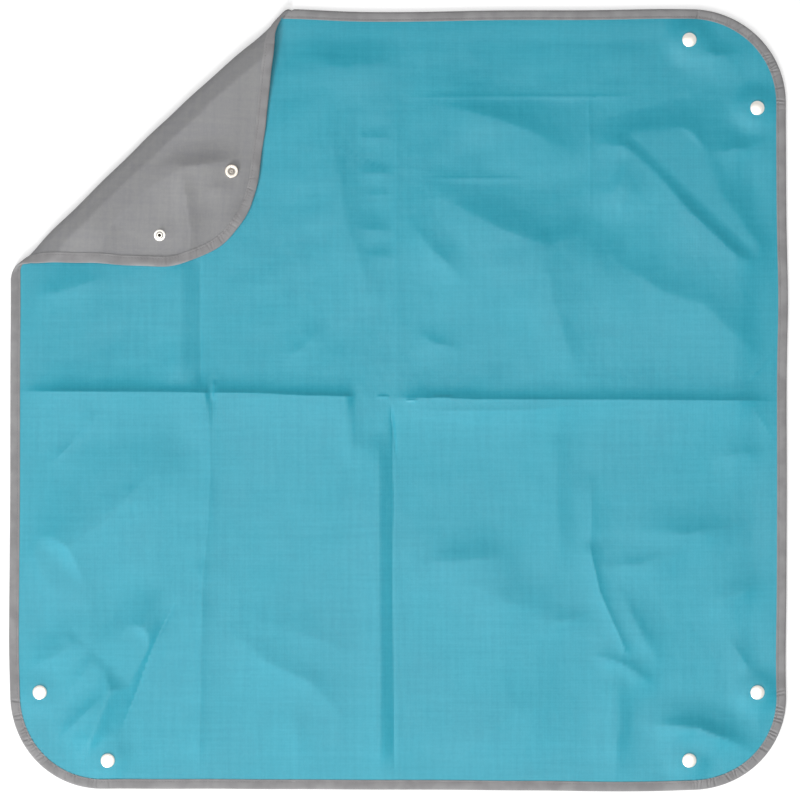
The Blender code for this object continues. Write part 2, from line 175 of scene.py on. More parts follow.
# Creases that the cloth keeps from being stored folded, in millimetres from the middle of the mat:
# points along the crest, height, width on its left or lower side, width on its right or upper side, fade
CREASES = [
    ([(-404.3, 9.5), (-286.9, 9), (-214.8, 8.4), (-190, 7.4)], 4, 28, 8, 12),
    ([(-196.2, 8.4), (-140.6, 7.4), (-101.5, 5.4), (-41.7, 3.8)], 3.6, 26, 7, 14),
    ([(-189, 22.9), (-190, -1.9)], 0.8, 2, 2, 8),
    ([(-14.9, 2.8), (42.7, 2.3), (83.9, 1.2), (207.5, 0.7), (310.5, 0.2), (413.5, -0.8)], 4, 24, 9, 50),
    ([(-23.2, 3.8), (-7.7, 3.8)], 0.8, 1.4, 1.6, 5),
    ([(5.7, 0), (21.1, 0)], 0.8, 1.3, 1.6, 5),
    ([(32.4, 3.5), (57.2, 3.5)], 0.6, 1.3, 1.6, 6),
    ([(-5.7, -2.9), (-5.7, -51.3), (-4.6, -102.8), (-5.7, -169.7), (-4.6, -308.8), (-3.6, -397.4)], -1, 7, 3, 24),
    ([(-7.7, 0.2), (-6.7, -20.4), (-3.6, -41), (-1.5, -63.7)], -0.9, 2, 1.6, 16),
    ([(-1.5, 335), (-1.5, 165), (-0.5, 8.4)], 0.8, 7, 9, 70),
    ([(-203.9, 154.7), (-203.9, 72.3), (-203.4, 8.4)], -1.3, 9, 4, 24),
    ([(-194.7, 4.3), (-193.6, -71.9), (-195.2, -123.4), (-201.4, -195.5)], 1.8, 10, 12, 26),
    ([(-200.8, -160.5), (-202.4, -247), (-203.4, -308.8), (-205.5, -401.5)], 1.2, 8, 9, 24),
    ([(195.2, 324.7), (197.2, 257.7), (197.2, 183.5)], 0.6, 4, 5, 30),
    ([(195.2, -139.9), (200.3, -166.7), (207.5, -197.6), (219.9, -226.4), (238.4, -267.6)], 2.8, 9, 9, 22),
    ([(-306.4, -8), (-328.1, -34.8), (-359, -69.8)], 1.2, 14, 4, 20),
    ([(-225.1, -197.6), (-253.9, -257.3), (-268.3, -298.5), (-291, -355.1)], -1.4, 6, 3, 36),
    ([(22.1, 227.3), (141.6, 227.3)], 0.4, 2.4, 1.6, 40),
    ([(3.6, 311.3), (254.9, 311.8)], 0.4, 2.4, 1.6, 50),
    ([(360, 19.8), (388.8, 51.7)], 0.7, 4, 3, 14),
    ([(364.1, -6), (390.9, -47.2)], 0.9, 5, 5, 16),
]

# Soft folds and swells, given in the same way
SWELLS = [
    ([(-3.6, -8), (42.7, -11.1), (125.1, -10.1), (207.5, -3.9)], 1.4, 14, 6, 80),
    ([(-20.1, -30.7), (-20.1, -123.4), (-19.1, -247), (-18, -397.4)], 3.2, 14, 12, 36),
    ([(-47.9, 4.3), (-47.9, -71.9)], 1.5, 12, 12, 30),
    ([(-223, 165), (-223, 4.3)], 3, 24, 15, 34),
    ([(145.7, 175.3), (156, 113.5), (172.5, 56.9), (189, 4.3)], 2.4, 40, 17, 70),
    ([(161.2, 10.5), (162.2, -71.9), (166.3, -195.5)], 2.2, 30, 16, 80),
    ([(198.3, -71.9), (198.3, -166.7)], 1.5, 8, 10, 40),
    ([(225.1, -271.7), (224, -411.8)], 3.5, 18, 18, 32),
    ([(191.1, -259.4), (228.1, -269.7), (271.4, -298.5)], 3, 12, 11, 34),
    ([(-200.3, -164.6), (-204.5, -308.8), (-206.5, -411.8)], 1.4, 16, 14, 60),
    ([(1.5, 307.1), (42.7, 304.1), (94.2, 291.7), (135.4, 276.2), (203.4, 241.2)], 4.3, 60, 19, 90),
    ([(6.7, 226.8), (53, 203.1), (109.7, 173.2), (156, 158.8), (228.1, 183.5)], 6.2, 90, 28, 90),
    ([(281.7, 309.2), (298.2, 247.4), (316.7, 201.1), (353.8, 159.9), (423.8, 152.6)], 7.6, 70, 26, 70),
    ([(191.1, 179.4), (226.1, 140.3), (271.4, 111.4), (312.6, 98.1), (353.8, 59.9), (398.1, 10.5)], 4.6, 70, 25, 100),
    ([(191.1, 265.9), (233.3, 261.8), (281.7, 272.1)], 2.6, 16, 12, 44),
    ([(193.1, 209.3), (222, 213.4), (244.6, 255.6)], 2, 14, 12, 40),
    ([(281.7, 371), (326, 355.6), (377.5, 358.6)], 3.8, 15, 15, 44),
    ([(312.6, 253.6), (364.1, 260.8), (403.2, 278.3)], 3.2, 18, 12, 40),
    ([(5.7, 191.8), (34.5, 154.7), (77.8, 113.5)], 2.4, 16, 12, 50),
    ([(9.8, 74.4), (36.6, 58.9), (73.6, 49.6)], 1.6, 12, 9, 34),
    ([(261.1, 247.4), (211.7, 173.2)], 2.2, 26, 14, 50),
    ([(-82.9, 329.8), (-66.4, 257.7), (-56.1, 190.8), (-39.7, 142.3), (-21.1, 62)], 3, 40, 18, 110),
    ([(-122.1, 37.3), (-96.3, 55.8), (-74.7, 80.5)], 1.6, 12, 12, 28),
    ([(-122.1, 350.4), (-60.3, 342.2), (11.8, 354.5)], 2.7, 40, 24, 60),
    ([(-396, 105.3), (-348.7, 111.4), (-286.9, 132)], 2, 16, 14, 50),
    ([(-50, 272.1), (-0.5, 270.1)], 0.68, 8, 6, 22),
    ([(-47.9, 235), (-0.5, 234)], 0.81, 8, 6, 22),
    ([(-41.7, 210.3), (-0.5, 211.4)], 0.54, 8, 6, 20),
    ([(-47.9, 177.4), (1.5, 173.2)], 0.94, 9, 7, 22),
    ([(-37.6, 148.5), (-0.5, 148.5)], 0.68, 8, 6, 18),
    ([(-2.6, -174.9), (27.3, -167.7), (73.6, -164.6), (139.6, -157.4)], 3.8, 32, 20, 66),
    ([(53, -179), (116.9, -209.9), (180.8, -220.2)], 2.6, 30, 22, 64),
    ([(139.6, -236.7), (168.4, -227.4), (207.5, -218.2)], 2, 14, 10, 34),
    ([(219.9, -133.7), (300.2, -137.8), (378.5, -125.5)], 3.8, 28, 17, 80),
    ([(189, -172.8), (248.7, -168.7), (304.4, -154.3)], 2.4, 24, 13, 56),
    ([(300.2, -230.5), (343.5, -199.6), (408.4, -187.3)], 3.5, 26, 20, 56),
    ([(222, -185.2), (246.7, -234.6), (277.6, -288.2)], 2.3, 14, 13, 52),
    ([(238.4, -331.5), (306.4, -336.6), (347.6, -353.1), (413.5, -387.1)], 6, 18, 15, 60),
    ([(53, -422.1), (75.7, -355.1), (120, -321.2), (197.2, -302.6)], 2.7, 36, 26, 80),
    ([(335.3, -236.7), (360, -273.8), (382.6, -300.6)], 2, 12, 12, 36),
    ([(316.7, -61.6), (353.8, -54.4), (395, -57.5)], 2, 16, 11, 36),
    ([(238.4, -387.1), (300.2, -352.1), (382.6, -387.1)], 1.6, 16, 14, 66),
    ([(368.2, -308.8), (374.4, -350)], 2.2, 12, 12, 20),
    (
        [(-451.7, -166.7), (-385.7, -158.4), (-342.5, -152.2), (-303.3, -125.5), (-262.1, -82.2), (-204.5, -49.2)],
        7, 34, 60, 90,
    ),
    ([(-420.8, -284.1), (-379.6, -275.8), (-342.5, -257.3), (-295.1, -201.7)], 4.6, 20, 28, 60),
    ([(-375.4, -141.9), (-338.4, -180), (-307.5, -230.5)], 3, 24, 18, 54),
    ([(-241.5, -191.4), (-269.3, -249.1), (-296.1, -298.5), (-315.7, -350), (-323.9, -411.8)], 6.8, 20, 18, 70),
    ([(-365.1, -331.5), (-323.9, -282), (-282.7, -218.2)], 2.7, 13, 16, 70),
    ([(-354.8, -354.1), (-299.2, -298.5)], 1.9, 10, 10, 36),
    ([(-185.9, -222.3), (-134.4, -269.7), (-89.1, -290.3), (-45.8, -341.8)], 3, 18, 17, 76),
    ([(-177.7, -218.2), (-101.5, -238.8), (-23.2, -267.6)], 1.8, 24, 18, 76),
    ([(-106.6, -288.2), (-99.4, -422.1)], 2.2, 18, 18, 54),
]


def crest(u, v, points, height, low_width, high_width, fade, sharp=False):
    """Height of one soft fold: a crest along points that falls off on both sides and fades at its ends.
    A sharp one is a pressed crease."""
    points = np.array(points) * MM
    tail = CREASE_TAIL if sharp else SWELL_TAIL
    reach = tail * max(low_width, high_width) * MM
    low, high = points.min(axis=0) - reach, points.max(axis=0) + reach
    near = (u > low[0]) & (u < high[0]) & (v > low[1]) & (v < high[1])
    result = np.zeros(np.shape(u))
    x, y = u[near], v[near]
    span = points[-1] - points[0]
    upward = np.sign(span[0]) if abs(span[0]) >= abs(span[1]) else -np.sign(span[1])
    closest, side, places, run = np.full(len(x), np.inf), np.zeros(len(x)), [], 0.0
    for start, step in zip(points, np.diff(points, axis=0)):
        length = math.hypot(*step)
        share = np.clip(((x - start[0]) * step[0] + (y - start[1]) * step[1]) / length ** 2, 0.0, 1.0)
        off_x, off_y = x - start[0] - share * step[0], y - start[1] - share * step[1]
        distance = np.hypot(off_x, off_y)
        closer = distance < closest
        closest = np.where(closer, distance, closest)
        side = np.where(closer, upward * (step[0] * off_y - step[1] * off_x), side)
        places.append((distance, run + share * length))
        run += length
    # the place along the fold passes evenly from one stretch to the next
    weights = [np.exp((closest - distance) * 4 / (max(low_width, high_width) * MM)) for distance, at in places]
    along = sum(weight * at for weight, (distance, at) in zip(weights, places)) / sum(weights)
    width = np.where(side < 0, low_width, high_width) * MM
    if sharp:
        fall = np.exp((CREASE_EDGE - np.hypot(closest, CREASE_EDGE)) / width)
    else:
        fall = np.exp(-(closest / width) ** 1.4)
    ends = smooth(along / (fade * MM)) * smooth((run - along) / (fade * MM))
    result[near] = height * MM * ends * fall * smooth((tail - closest / width) / (0.5 * tail))
    return result


def soft_limit(height, limit):
    """Height that rounds off below a limit."""
    return limit - LIMIT_ROUNDING * np.logaddexp(0.0, (limit - height) / LIMIT_ROUNDING)


def ripples(u, v, length, count, seed):
    """Soft even unevenness of the cloth, about length between crests, from -1 to 1."""
    chance = np.random.default_rng(seed)
    total = 0
    turns, shifts = chance.uniform(0, math.tau, count), chance.uniform(0, math.tau, count)
    for turn, shift, scale in zip(turns, shifts, chance.uniform(0.7, 1.5, count)):
        total = total + np.sin((u * math.cos(turn) + v * math.sin(turn)) * math.tau / (length * scale) + shift)
    return total / math.sqrt(count) / 1.4


def relief(u, v):
    """How high the open cloth stands over the floor, without its border and its snaps."""
    height = MEAN_HEIGHT
    for amount, *waves in UNEVENNESS:
        height = height + amount * ripples(u, v, *waves)
    # lower towards the right edge, where the cloth lies flattest
    height = height * (1 - 0.8 * smooth((u - 0.19) / 0.17))
    for crease in CREASES:
        height = height + crest(u, v, *crease, sharp=True)
    for swell in SWELLS:
        height = height + crest(u, v, *swell)
    # the sheet stands in a low ridge all along the middle fold
    height = height + RIDGE_HEIGHT * np.exp(-((v - MIDDLE_Y) / np.where(v > MIDDLE_Y, *RIDGE_WIDTHS)) ** 2)
    height = height + GRAIN[0] * ripples(u, v, *GRAIN[1:])
    # held down towards the edge of the mat, which the tape keeps flatter
    height = EDGE_HEIGHT + (height - EDGE_HEIGHT) * smooth(edge_distance(u, v) / EDGE_HOLD)
    # lower than the hinge along the lines that the other corners fold about
    from_fold = np.min([np.abs(corner.reach(u, v)) for corner in CORNERS if corner is not TOP_LEFT], axis=0)
    more = MORE_HEIGHT * smooth((from_fold - FOLD_LINE_REACH) / MORE_HEIGHT_FADE)
    height = soft_limit(height, FOLD_LINE_HEIGHT + more)
    # flat where the sheet turns over
    away = -TOP_LEFT.reach(u, v) - ROLL_REACH
    return np.maximum(height, 0.0) * smooth(away / ROLL_FADE)


def edge_distance(u, v):
    """Distance inside the rounded outline."""
    x = np.abs(u) - (HALF_WIDTH - CORNER_RADIUS)
    y = np.abs(v) - (HALF_LENGTH - CORNER_RADIUS)
    outside = np.hypot(np.maximum(x, 0), np.maximum(y, 0)) + np.minimum(np.maximum(x, y), 0)
    return CORNER_RADIUS - outside


def seat_levels():
    """Each snap's place, the height of the sheet there, and whether it is on the folded corner."""
    for corner in CORNERS:
        for where, (x, y) in corner.snaps.items():
            has_stud = where == corner.stud_at
            if corner is TOP_LEFT:
                yield x, y, (FOLDED_STUD_SEAT if has_stud else 0.0), True
            else:
                yield x, y, (STUD_SEAT if has_stud else SOCKET_SEAT), False


def cloth_height(u, v, border):
    """Height of the cloth's lowest layer over the floor, before the top left corner is turned over."""
    height = relief(u, v)
    if border:
        height = height + BORDER_LIFT * (1 - smooth((edge_distance(u, v) - BORDER_WIDTH) / BORDER_FADE))
    for x, y, level, folded in seat_levels():
        distance = np.hypot(u - x, v - y)
        near = 1 - smooth((distance - SEAT_RADIUS) / SEAT_FADE)
        if folded:
            height = height + level * near
        else:
            near = near * near
            height = height * (1 - near) + level * near
    return height


# How little bump_fit gives way where spots lie close together
FIT_SOFTNESS = 0.02


def bump_fit(x, y, spots, values, width):
    """A smooth field that takes nearly the given values at the given spots and dies away beyond width."""
    spots, values = np.array(spots, float), np.array(values, float)
    apart = np.hypot(spots[:, None, 0] - spots[None, :, 0], spots[:, None, 1] - spots[None, :, 1])
    amounts = np.linalg.solve(np.exp(-(apart / width) ** 2) + FIT_SOFTNESS * np.eye(len(spots)), values)
    total = 0
    for (sx, sy), amount in zip(spots, amounts):
        total = total + np.exp(-(((x - sx) ** 2 + (y - sy) ** 2) / width ** 2))[..., None] * amount
    return total


# The sewn edge isn't straight: millimetres along each side and how far it stands out there
EDGE_WANDER = {
    "top": [
        (-112, 1.6), (-81, 0.3), (-50, -1.1), (-6, -1.6), (43, -1.0), (74, -0.3), (135, 0.3), (197, 0.4), (259, 1.5),
        (300, 1.4),
    ],
    "bottom": [
        (-287, -1.1), (-194, -1.0), (-101, -0.5), (22, 0.0), (115, 0.8), (202, 1.7), (238, 1.8),
        (269, 1.4), (305, 0.2),
    ],
    "left": [(-305, 0.2), (-268, 1.2), (-206, 1.2), (-144, 0.6), (-51, 0.2), (41, 0.0), (103, -0.4)],
    "right": [
        (-305, -0.6), (-268, -1.0), (-206, -0.3), (-82, 0.2), (41, 0.3), (103, 1.4), (165, 0.2),
        (227, -0.5), (300, -0.8),
    ],
}
# How far each of those reaches along the edge, and from where towards a side the edge moves with it
WANDER_SPREAD = 0.05
WANDER_START = 0.25


def wander(place, side):
    """How far the edge stands out at a distance along one side."""
    table = np.array(EDGE_WANDER[side]) * MM
    spots = np.column_stack((table[:, 0], 0 * table[:, 0]))
    return bump_fit(place, 0 * place, spots, table[:, 1:2], WANDER_SPREAD)[..., 0]


# How the turned corner lies off a plain mirror image of itself: place on the flat cloth from the
# corner's fold, then the shift to the right and up, all in millimetres
FLAP_SHIFTS = [
    # roll, at the top edge of the mat, and at the left edge
    ((-131.4, 401.0), (8.2, 7.2)), ((-143.0, 401.0), (7.0, 3.6)), ((-119.7, 401.0), (4.6, 2.9)),
    ((-399.5, 148.1), (1.5, -1.0)), ((-399.5, 159.1), (0.5, -4.6)), ((-399.5, 137.0), (0.0, 0.0)),
    # along the top edge, which is now on the right
    ((-155.4, 401.0), (6.2, 0.0)), ((-172, 401), (6.5, 0)), ((-184, 401), (5.2, 0)), ((-202, 401), (4.2, 0)),
    ((-221, 401), (3.2, 0)), ((-239, 401), (2.3, 0)), ((-258, 401), (1.3, 0)), ((-277, 401), (-0.7, 0)),
    ((-296, 401), (-1.6, 0)),
    # round the corner
    ((-313.0, 400.5), (-3.2, -0.4)), ((-328.5, 397.7), (-3.6, 2.0)), ((-341.2, 393.4), (-2.9, 1.5)),
    ((-355.6, 385.7), (-3.3, 2.4)), ((-367.6, 376.6), (-2.7, 1.8)), ((-382.7, 359.3), (-1.3, 2.3)),
    ((-396.0, 331.6), (0.4, 1.8)),
    # along the left edge, which is now at the bottom
    ((-399.3, 310), (0, -1.3)), ((-399.5, 287), (0, -2.0)), ((-399.5, 262), (0, -2.6)), ((-399.5, 236), (0, -2.1)),
    ((-399.5, 212), (0, -3.4)), ((-399.5, 186), (0, -4.8)), ((-399.5, 171), (0, -6.0)),
    # the fold itself bows a little
    ((-342, 203), (0.8, -0.8)), ((-305, 240), (-0.3, 0.3)), ((-260, 280), (-1.1, 1.1)), ((-222, 316), (-1.0, 1.0)),
    ((-182, 353), (0.6, 0.6)),
    # the snaps stay where they are
    ((-299, 370.5), (0, 0)), ((-369, 300.5), (0, 0)), ((-300, 320), (0, 0)), ((-270, 350), (0.8, 0)),
    ((-340, 270), (0, -0.8)),
]
FLAP_SPOTS = np.array([spot for spot, shift in FLAP_SHIFTS]) * MM
FLAP_MOVES = np.array([shift for spot, shift in FLAP_SHIFTS]) * MM

# Soft folds of the turned corner, where they lie now
FLAP_CREASES = [
    ([(-345, 70), (-312, 140), (-300, 186), (-262, 222), (-226, 238), (-150, 250)], 5.6, 22, 14, 60),
    ([(-222, 240), (-214, 172), (-219, 95)], 3.4, 7, 13, 34),
    ([(-212, 210), (-165, 224)], 1.2, 10, 10, 26),
    ([(-284, 143), (-206, 141)], 1.2, 4, 5, 24),
    ([(-140, 262), (-153, 205), (-176, 160)], 2.6, 8, 7, 30),
]


# How far a shift and a seat reach on the turned corner, and over what width its creases and seats set in
SHIFT_SPREAD = 0.028
SHIFT_START = 0.008
FLAP_SEAT_SPREAD = 0.024
FLAP_START = 0.03
# How far past the roll's crest the turned sheet starts to come down, how far it comes down, and how soon
DROP_START = 0.009
DROP = 0.0087
DROP_EASE = 0.012
DROP_LENGTH = 0.022
# The roll's upper slope: the share of it that is round, and how much steeper that is than the whole
ROUND_SHARE = 0.42
ROUND_STEEPNESS = 3


def flap_drop(q):
    """How far the turned sheet has come down at q beyond the start of its drop."""
    return DROP * (1 - np.exp(-(q * q / (q + DROP_EASE)) / DROP_LENGTH))


def place(u, v, z, border=True, seated=True):
    """Where a point of the cloth lies in the rest pose: u and v on the flat cloth, z above its lowest layer."""
    spots, back = np.unique(np.round(np.stack((u, v), axis=-1), 7), axis=0, return_inverse=True)
    height = cloth_height(spots[:, 0], spots[:, 1], border)[back.reshape(len(u))] + z
    reach = TOP_LEFT.reach(u, v)
    along = TOP_LEFT.along(u, v)
    past = np.maximum(reach + ROLL_REACH, 0.0)
    angle = np.clip(past / (2 * ROLL_REACH), 0.0, 1.0) * math.pi
    beyond = np.maximum(past - 2 * ROLL_REACH, 0.0)
    radius = ROLL_RADIUS - height
    rolled_reach = -ROLL_REACH + radius * np.sin(angle) - beyond
    # the roll is round underneath, and over it the sheet rises in a longer slope
    inward = np.minimum(ROLL_RADIUS * (1 - np.sin(angle)) + beyond, ROLL_CREST) / ROLL_CREST
    rounded = np.sqrt(1 - (1 - np.minimum(ROUND_STEEPNESS * inward, 1.0)) ** 2)
    slope = ROUND_SHARE * rounded + (1 - ROUND_SHARE) * inward
    turn = np.where(angle > math.pi / 2, slope, -np.cos(angle))
    lift = -flap_drop(np.maximum(beyond - DROP_START, 0.0))
    x = TOP_LEFT.pivot[0] + TOP_LEFT.outward[0] * rolled_reach + TOP_LEFT.axis[0] * along
    y = TOP_LEFT.pivot[1] + TOP_LEFT.outward[1] * rolled_reach + TOP_LEFT.axis[1] * along
    on_flap = smooth(beyond / FLAP_START)
    for crease in FLAP_CREASES:
        lift = lift + on_flap * crest(x, y, *crease)
    if seated:
        for seat_x, seat_y, rise in FLAP_SEATS:
            off = (x - seat_x) ** 2 + (y - seat_y) ** 2
            lift = lift + on_flap * rise * np.exp(-(off / FLAP_SEAT_SPREAD ** 2))
    # no part of it stands higher than the roll, or it would go under the floor when it is unfolded
    top = ROLL_RADIUS + ROLL_RADIUS * turn + lift
    rolled_z = ROLL_RADIUS + radius * turn + lift + np.where(beyond > 0, soft_limit(top, FLAP_LIMIT) - top, 0.0)
    shift = bump_fit(u, v, FLAP_SPOTS, FLAP_MOVES, SHIFT_SPREAD) * smooth(past / SHIFT_START)[..., None]
    folded = past > 0
    x = np.where(folded, x + shift[..., 0], u)
    y = np.where(folded, y + shift[..., 1], v)
    z = np.where(folded, rolled_z, height)
    flat = 1 - smooth(past / ROLL_REACH)
    band_x = smooth((np.abs(u) - WANDER_START) / (HALF_WIDTH - WANDER_START))
    band_y = smooth((np.abs(v) - WANDER_START) / (HALF_LENGTH - WANDER_START))
    x = x + flat * band_x * np.where(u > 0, wander(v, "right"), -wander(v, "left"))
    y = y + flat * band_y * np.where(v > 0, wander(u, "top"), -wander(u, "bottom"))
    return np.stack((x, y, z), axis=-1)


# Heights over the floor of the folded corner's lowest layer at its snaps
FLAP_SNAP_LEVELS = {"edge": 0.0066, "side": 0.0062}


def flap_seats():
    """How far the folded corner is raised or lowered round each of its snaps, to lie against them."""
    for where, level in FLAP_SNAP_LEVELS.items():
        u, v = TOP_LEFT.snaps[where]
        x, y, z = place(np.array([u]), np.array([v]), 0.0, seated=False)[0]
        yield x, y, level - z


FLAP_SEATS = list(flap_seats())


NORMAL_STEP = 0.0006


def cloth_normals(u, v, z):
    """Unit normals of the cloth's upper face, from small steps on the flat cloth."""
    here = place(u, v, z)
    normal = np.cross(place(u + NORMAL_STEP, v, z) - here, place(u, v + NORMAL_STEP, z) - here)
    return normal / np.linalg.norm(normal, axis=-1, keepdims=True)


# Spacing of the cloth's grid lines, the closer spacing at upright creases, and along the middle fold
GRID_STEP = 0.0028
FINE_STEP = 0.0014
MIDDLE_STEP = 0.0010


def line_places(low, high, step=GRID_STEP, fine_spans=()):
    """Grid lines from low to high, closer together inside the fine spans."""
    places = [low]
    while places[-1] < high:
        fine = any(a <= places[-1] < b for a, b in fine_spans)
        places.append(places[-1] + (FINE_STEP if fine else step))
    places[-1] = high
    if places[-1] - places[-2] < step / 3:
        places.pop(-2)
    return np.array(places)


FINE_SPANS_U = ((-0.216, -0.186), (-0.021, 0.006), (0.186, 0.230))
SHEET_X = HALF_WIDTH - SHEET_INSET
SHEET_Y = HALF_LENGTH - SHEET_INSET
MIDDLE_TOP = MIDDLE_Y + MIDDLE_REACH
MIDDLE_BOTTOM = MIDDLE_Y - MIDDLE_REACH
U_LINES = line_places(-SHEET_X, SHEET_X, fine_spans=FINE_SPANS_U)
V_UPPER = line_places(MIDDLE_TOP, SHEET_Y)
V_MIDDLE = line_places(MIDDLE_BOTTOM, MIDDLE_TOP, MIDDLE_STEP)
V_LOWER = line_places(-SHEET_Y, MIDDLE_BOTTOM)
# Straight cuts that round a corner of the sheet off
CORNER_CUTS = 28


def grid_spot(co, columns, rows):
    """Column and row of a point of a new grid, which runs from -1 to 1 both ways."""
    return round((co.x + 1) / 2 * columns), round((co.y + 1) / 2 * rows)


def cloth_grid(u_lines, v_lines):
    """A flat grid of faces whose lines lie at the given places."""
    bm = bmesh.new()
    columns, rows = len(u_lines) - 1, len(v_lines) - 1
    bmesh.ops.create_grid(bm, x_segments=columns, y_segments=rows, size=1.0)
    for vert in bm.verts:
        column, row = grid_spot(vert.co, columns, rows)
        vert.co.x, vert.co.y = u_lines[column], v_lines[row]
    return bm


def keep_side(bm, spot, outward, keep_beyond):
    """Cut a flat sheet along a line and throw one side away."""
    bmesh.ops.bisect_plane(
        bm, geom=bm.verts[:] + bm.edges[:] + bm.faces[:], dist=1e-7, plane_co=Vector((spot[0], spot[1], 0)),
        plane_no=Vector((outward[0], outward[1], 0)), clear_inner=keep_beyond, clear_outer=not keep_beyond,
    )


def round_corner(bm, corner):
    """Trim a flat sheet to the rounded outline of one corner."""
    centre = Vector((corner.side * (HALF_WIDTH - CORNER_RADIUS), corner.end * (HALF_LENGTH - CORNER_RADIUS)))
    for cut in range(CORNER_CUTS):
        turn = (cut + 0.5) / CORNER_CUTS * math.pi / 2
        outward = Vector((corner.side * math.cos(turn), corner.end * math.sin(turn)))
        spot = centre + outward * (CORNER_RADIUS - SHEET_INSET)
        keep_side(bm, spot, outward, keep_beyond=False)


def close_ends(bm):
    """Cap the open ends of a swept section, and turn its faces outwards."""
    bmesh.ops.holes_fill(bm, edges=[edge for edge in bm.edges if edge.is_boundary], sides=0)
    bmesh.ops.recalc_face_normals(bm, faces=bm.faces[:])


def to_mesh(bm, name):
    """A mesh of what was built, whose workspace is then given up."""
    mesh = bpy.data.meshes.new(name)
    bm.to_mesh(mesh)
    bm.free()
    return mesh


def mesh_points(mesh):
    """The places of a mesh's points, a row for each."""
    places = np.empty(len(mesh.vertices) * 3, np.float32)
    mesh.vertices.foreach_get("co", places)
    return places.reshape(-1, 3).astype(float)


def move_points(mesh, places):
    mesh.vertices.foreach_set("co", places.astype(np.float32).ravel())


def add_object(name, data):
    made = bpy.data.objects.new(name, data)
    bpy.context.scene.collection.objects.link(made)
    return made


def add_piece(name, mesh, material):
    """A smooth shaded object of one material."""
    mesh.materials.append(material)
    mesh.shade_smooth()
    return add_object(name, mesh)


def lay_cloth(bm, name, material, bottom, thickness):
    """Give a flat cut sheet its thickness and lay it in the rest pose, with a UV map in metres of flat cloth."""
    bmesh.ops.triangulate(bm, faces=[face for face in bm.faces if len(face.verts) > 4])
    made = bmesh.ops.extrude_face_region(bm, geom=bm.faces[:], use_keep_orig=True)
    raised = [item for item in made["geom"] if isinstance(item, bmesh.types.BMVert)]
    bmesh.ops.translate(bm, vec=Vector((0, 0, 1)), verts=raised)
    bmesh.ops.recalc_face_normals(bm, faces=bm.faces[:])
    mesh = to_mesh(bm, name)
    flat = mesh_points(mesh)
    u, v, top = flat[:, 0], flat[:, 1], flat[:, 2] > 0.5
    move_points(mesh, place(u, v, bottom + thickness * top))
    corner_verts = np.empty(len(mesh.loops), np.int32)
    mesh.loops.foreach_get("vertex_index", corner_verts)
    uv = mesh.uv_layers.new(name="cloth")
    uv.data.foreach_set("uv", flat[corner_verts, :2].astype(np.float32).ravel())
    piece = add_piece(name, mesh, material)
    normals = cloth_normals(u, v, SHEET_TOP / 2) * np.where(top, 1.0, -1.0)[:, None]
    mesh.normals_split_custom_set_from_vertices(normals.tolist())
    return piece


def flat_area(bm):
    return sum(face.calc_area() for face in bm.faces)


def corner_lines(corner):
    """Grid lines that cover one corner beyond its fold, with room to spare."""
    v_lines = V_UPPER if corner.end > 0 else V_LOWER
    first_u = abs(corner.pivot[0]) - 0.20
    return U_LINES[U_LINES * corner.side > first_u], v_lines[v_lines * corner.end > 0.10]


def cut_fold(bm, corner, reach, keep_beyond):
    keep_side(bm, corner.point(reach), corner.outward, keep_beyond)


def make_cloth(layer, material, bottom, thickness):
    """All the panels of one layer of the sheet, one for each body and fold; the halves and the top left flap are put
    on their bodies.
    """
    made = {}

    def finish(key, bm, width, length, area=None):
        area = area or flat_area(bm)
        piece = lay_cloth(bm, f"{layer}_sheet_{key}", material, bottom, thickness)
        made[key] = (piece, (width, length), area)
        return piece

    for key, v_lines, ends, body in (("upper", V_UPPER, 1, "upper_half"), ("lower", V_LOWER, -1, "lower_half")):
        bm = cloth_grid(U_LINES, v_lines)
        for corner in CORNERS:
            if corner.end == ends:
                cut_fold(bm, corner, -ROLL_REACH, keep_beyond=False)
        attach(finish(key, bm, 2 * SHEET_X, v_lines[-1] - v_lines[0]), body)
    piece = finish("middle", cloth_grid(U_LINES, V_MIDDLE), 2 * SHEET_X, MIDDLE_TOP - MIDDLE_BOTTOM)
    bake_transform(piece)
    for corner in CORNERS:
        u_lines, v_lines = corner_lines(corner)
        bm = cloth_grid(u_lines, v_lines)
        cut_fold(bm, corner, -ROLL_REACH, keep_beyond=True)
        if corner is TOP_LEFT:
            strip = bm.copy()
            cut_fold(strip, corner, ROLL_REACH, keep_beyond=False)
            share = ROLL_CLOTH / (2 * ROLL_REACH)
            piece = finish("top_left_roll", strip, ROLL_LENGTH, ROLL_CLOTH, area=flat_area(strip) * share)
            corner.point(0, ROLL_START)
            corner.point(0, ROLL_END)
            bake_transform(piece)
            cut_fold(bm, corner, ROLL_REACH, keep_beyond=True)
            round_corner(bm, corner)
            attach(finish("top_left_flap", bm, FOLD_ALONG_EDGE, FOLD_ALONG_SIDE), corner.body)
            continue
        round_corner(bm, corner)
        piece = finish(corner.name, bm, FOLD_ALONG_EDGE, FOLD_ALONG_SIDE)
        corner.half
        corner.body
        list(corner.bend())
        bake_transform(piece)
    return made


# Heights between which the top left roll turns from the mat to the folded corner, its length, and the
# width of cloth that goes round it
ROLL_START = 0.0036
ROLL_END = 0.0104
ROLL_LENGTH = 0.40
ROLL_CLOTH = math.pi * (ROLL_RADIUS - SHEET_TOP)

# Half way up the tape, the angle from which an edge of it is sharp, and the spacing of its rings on the
# sides and on the corners
TAPE_MIDDLE = 0.0013
TAPE_SHARP = math.radians(70)
TAPE_STEP = 0.0025
TAPE_CORNER_STEP = 0.0008

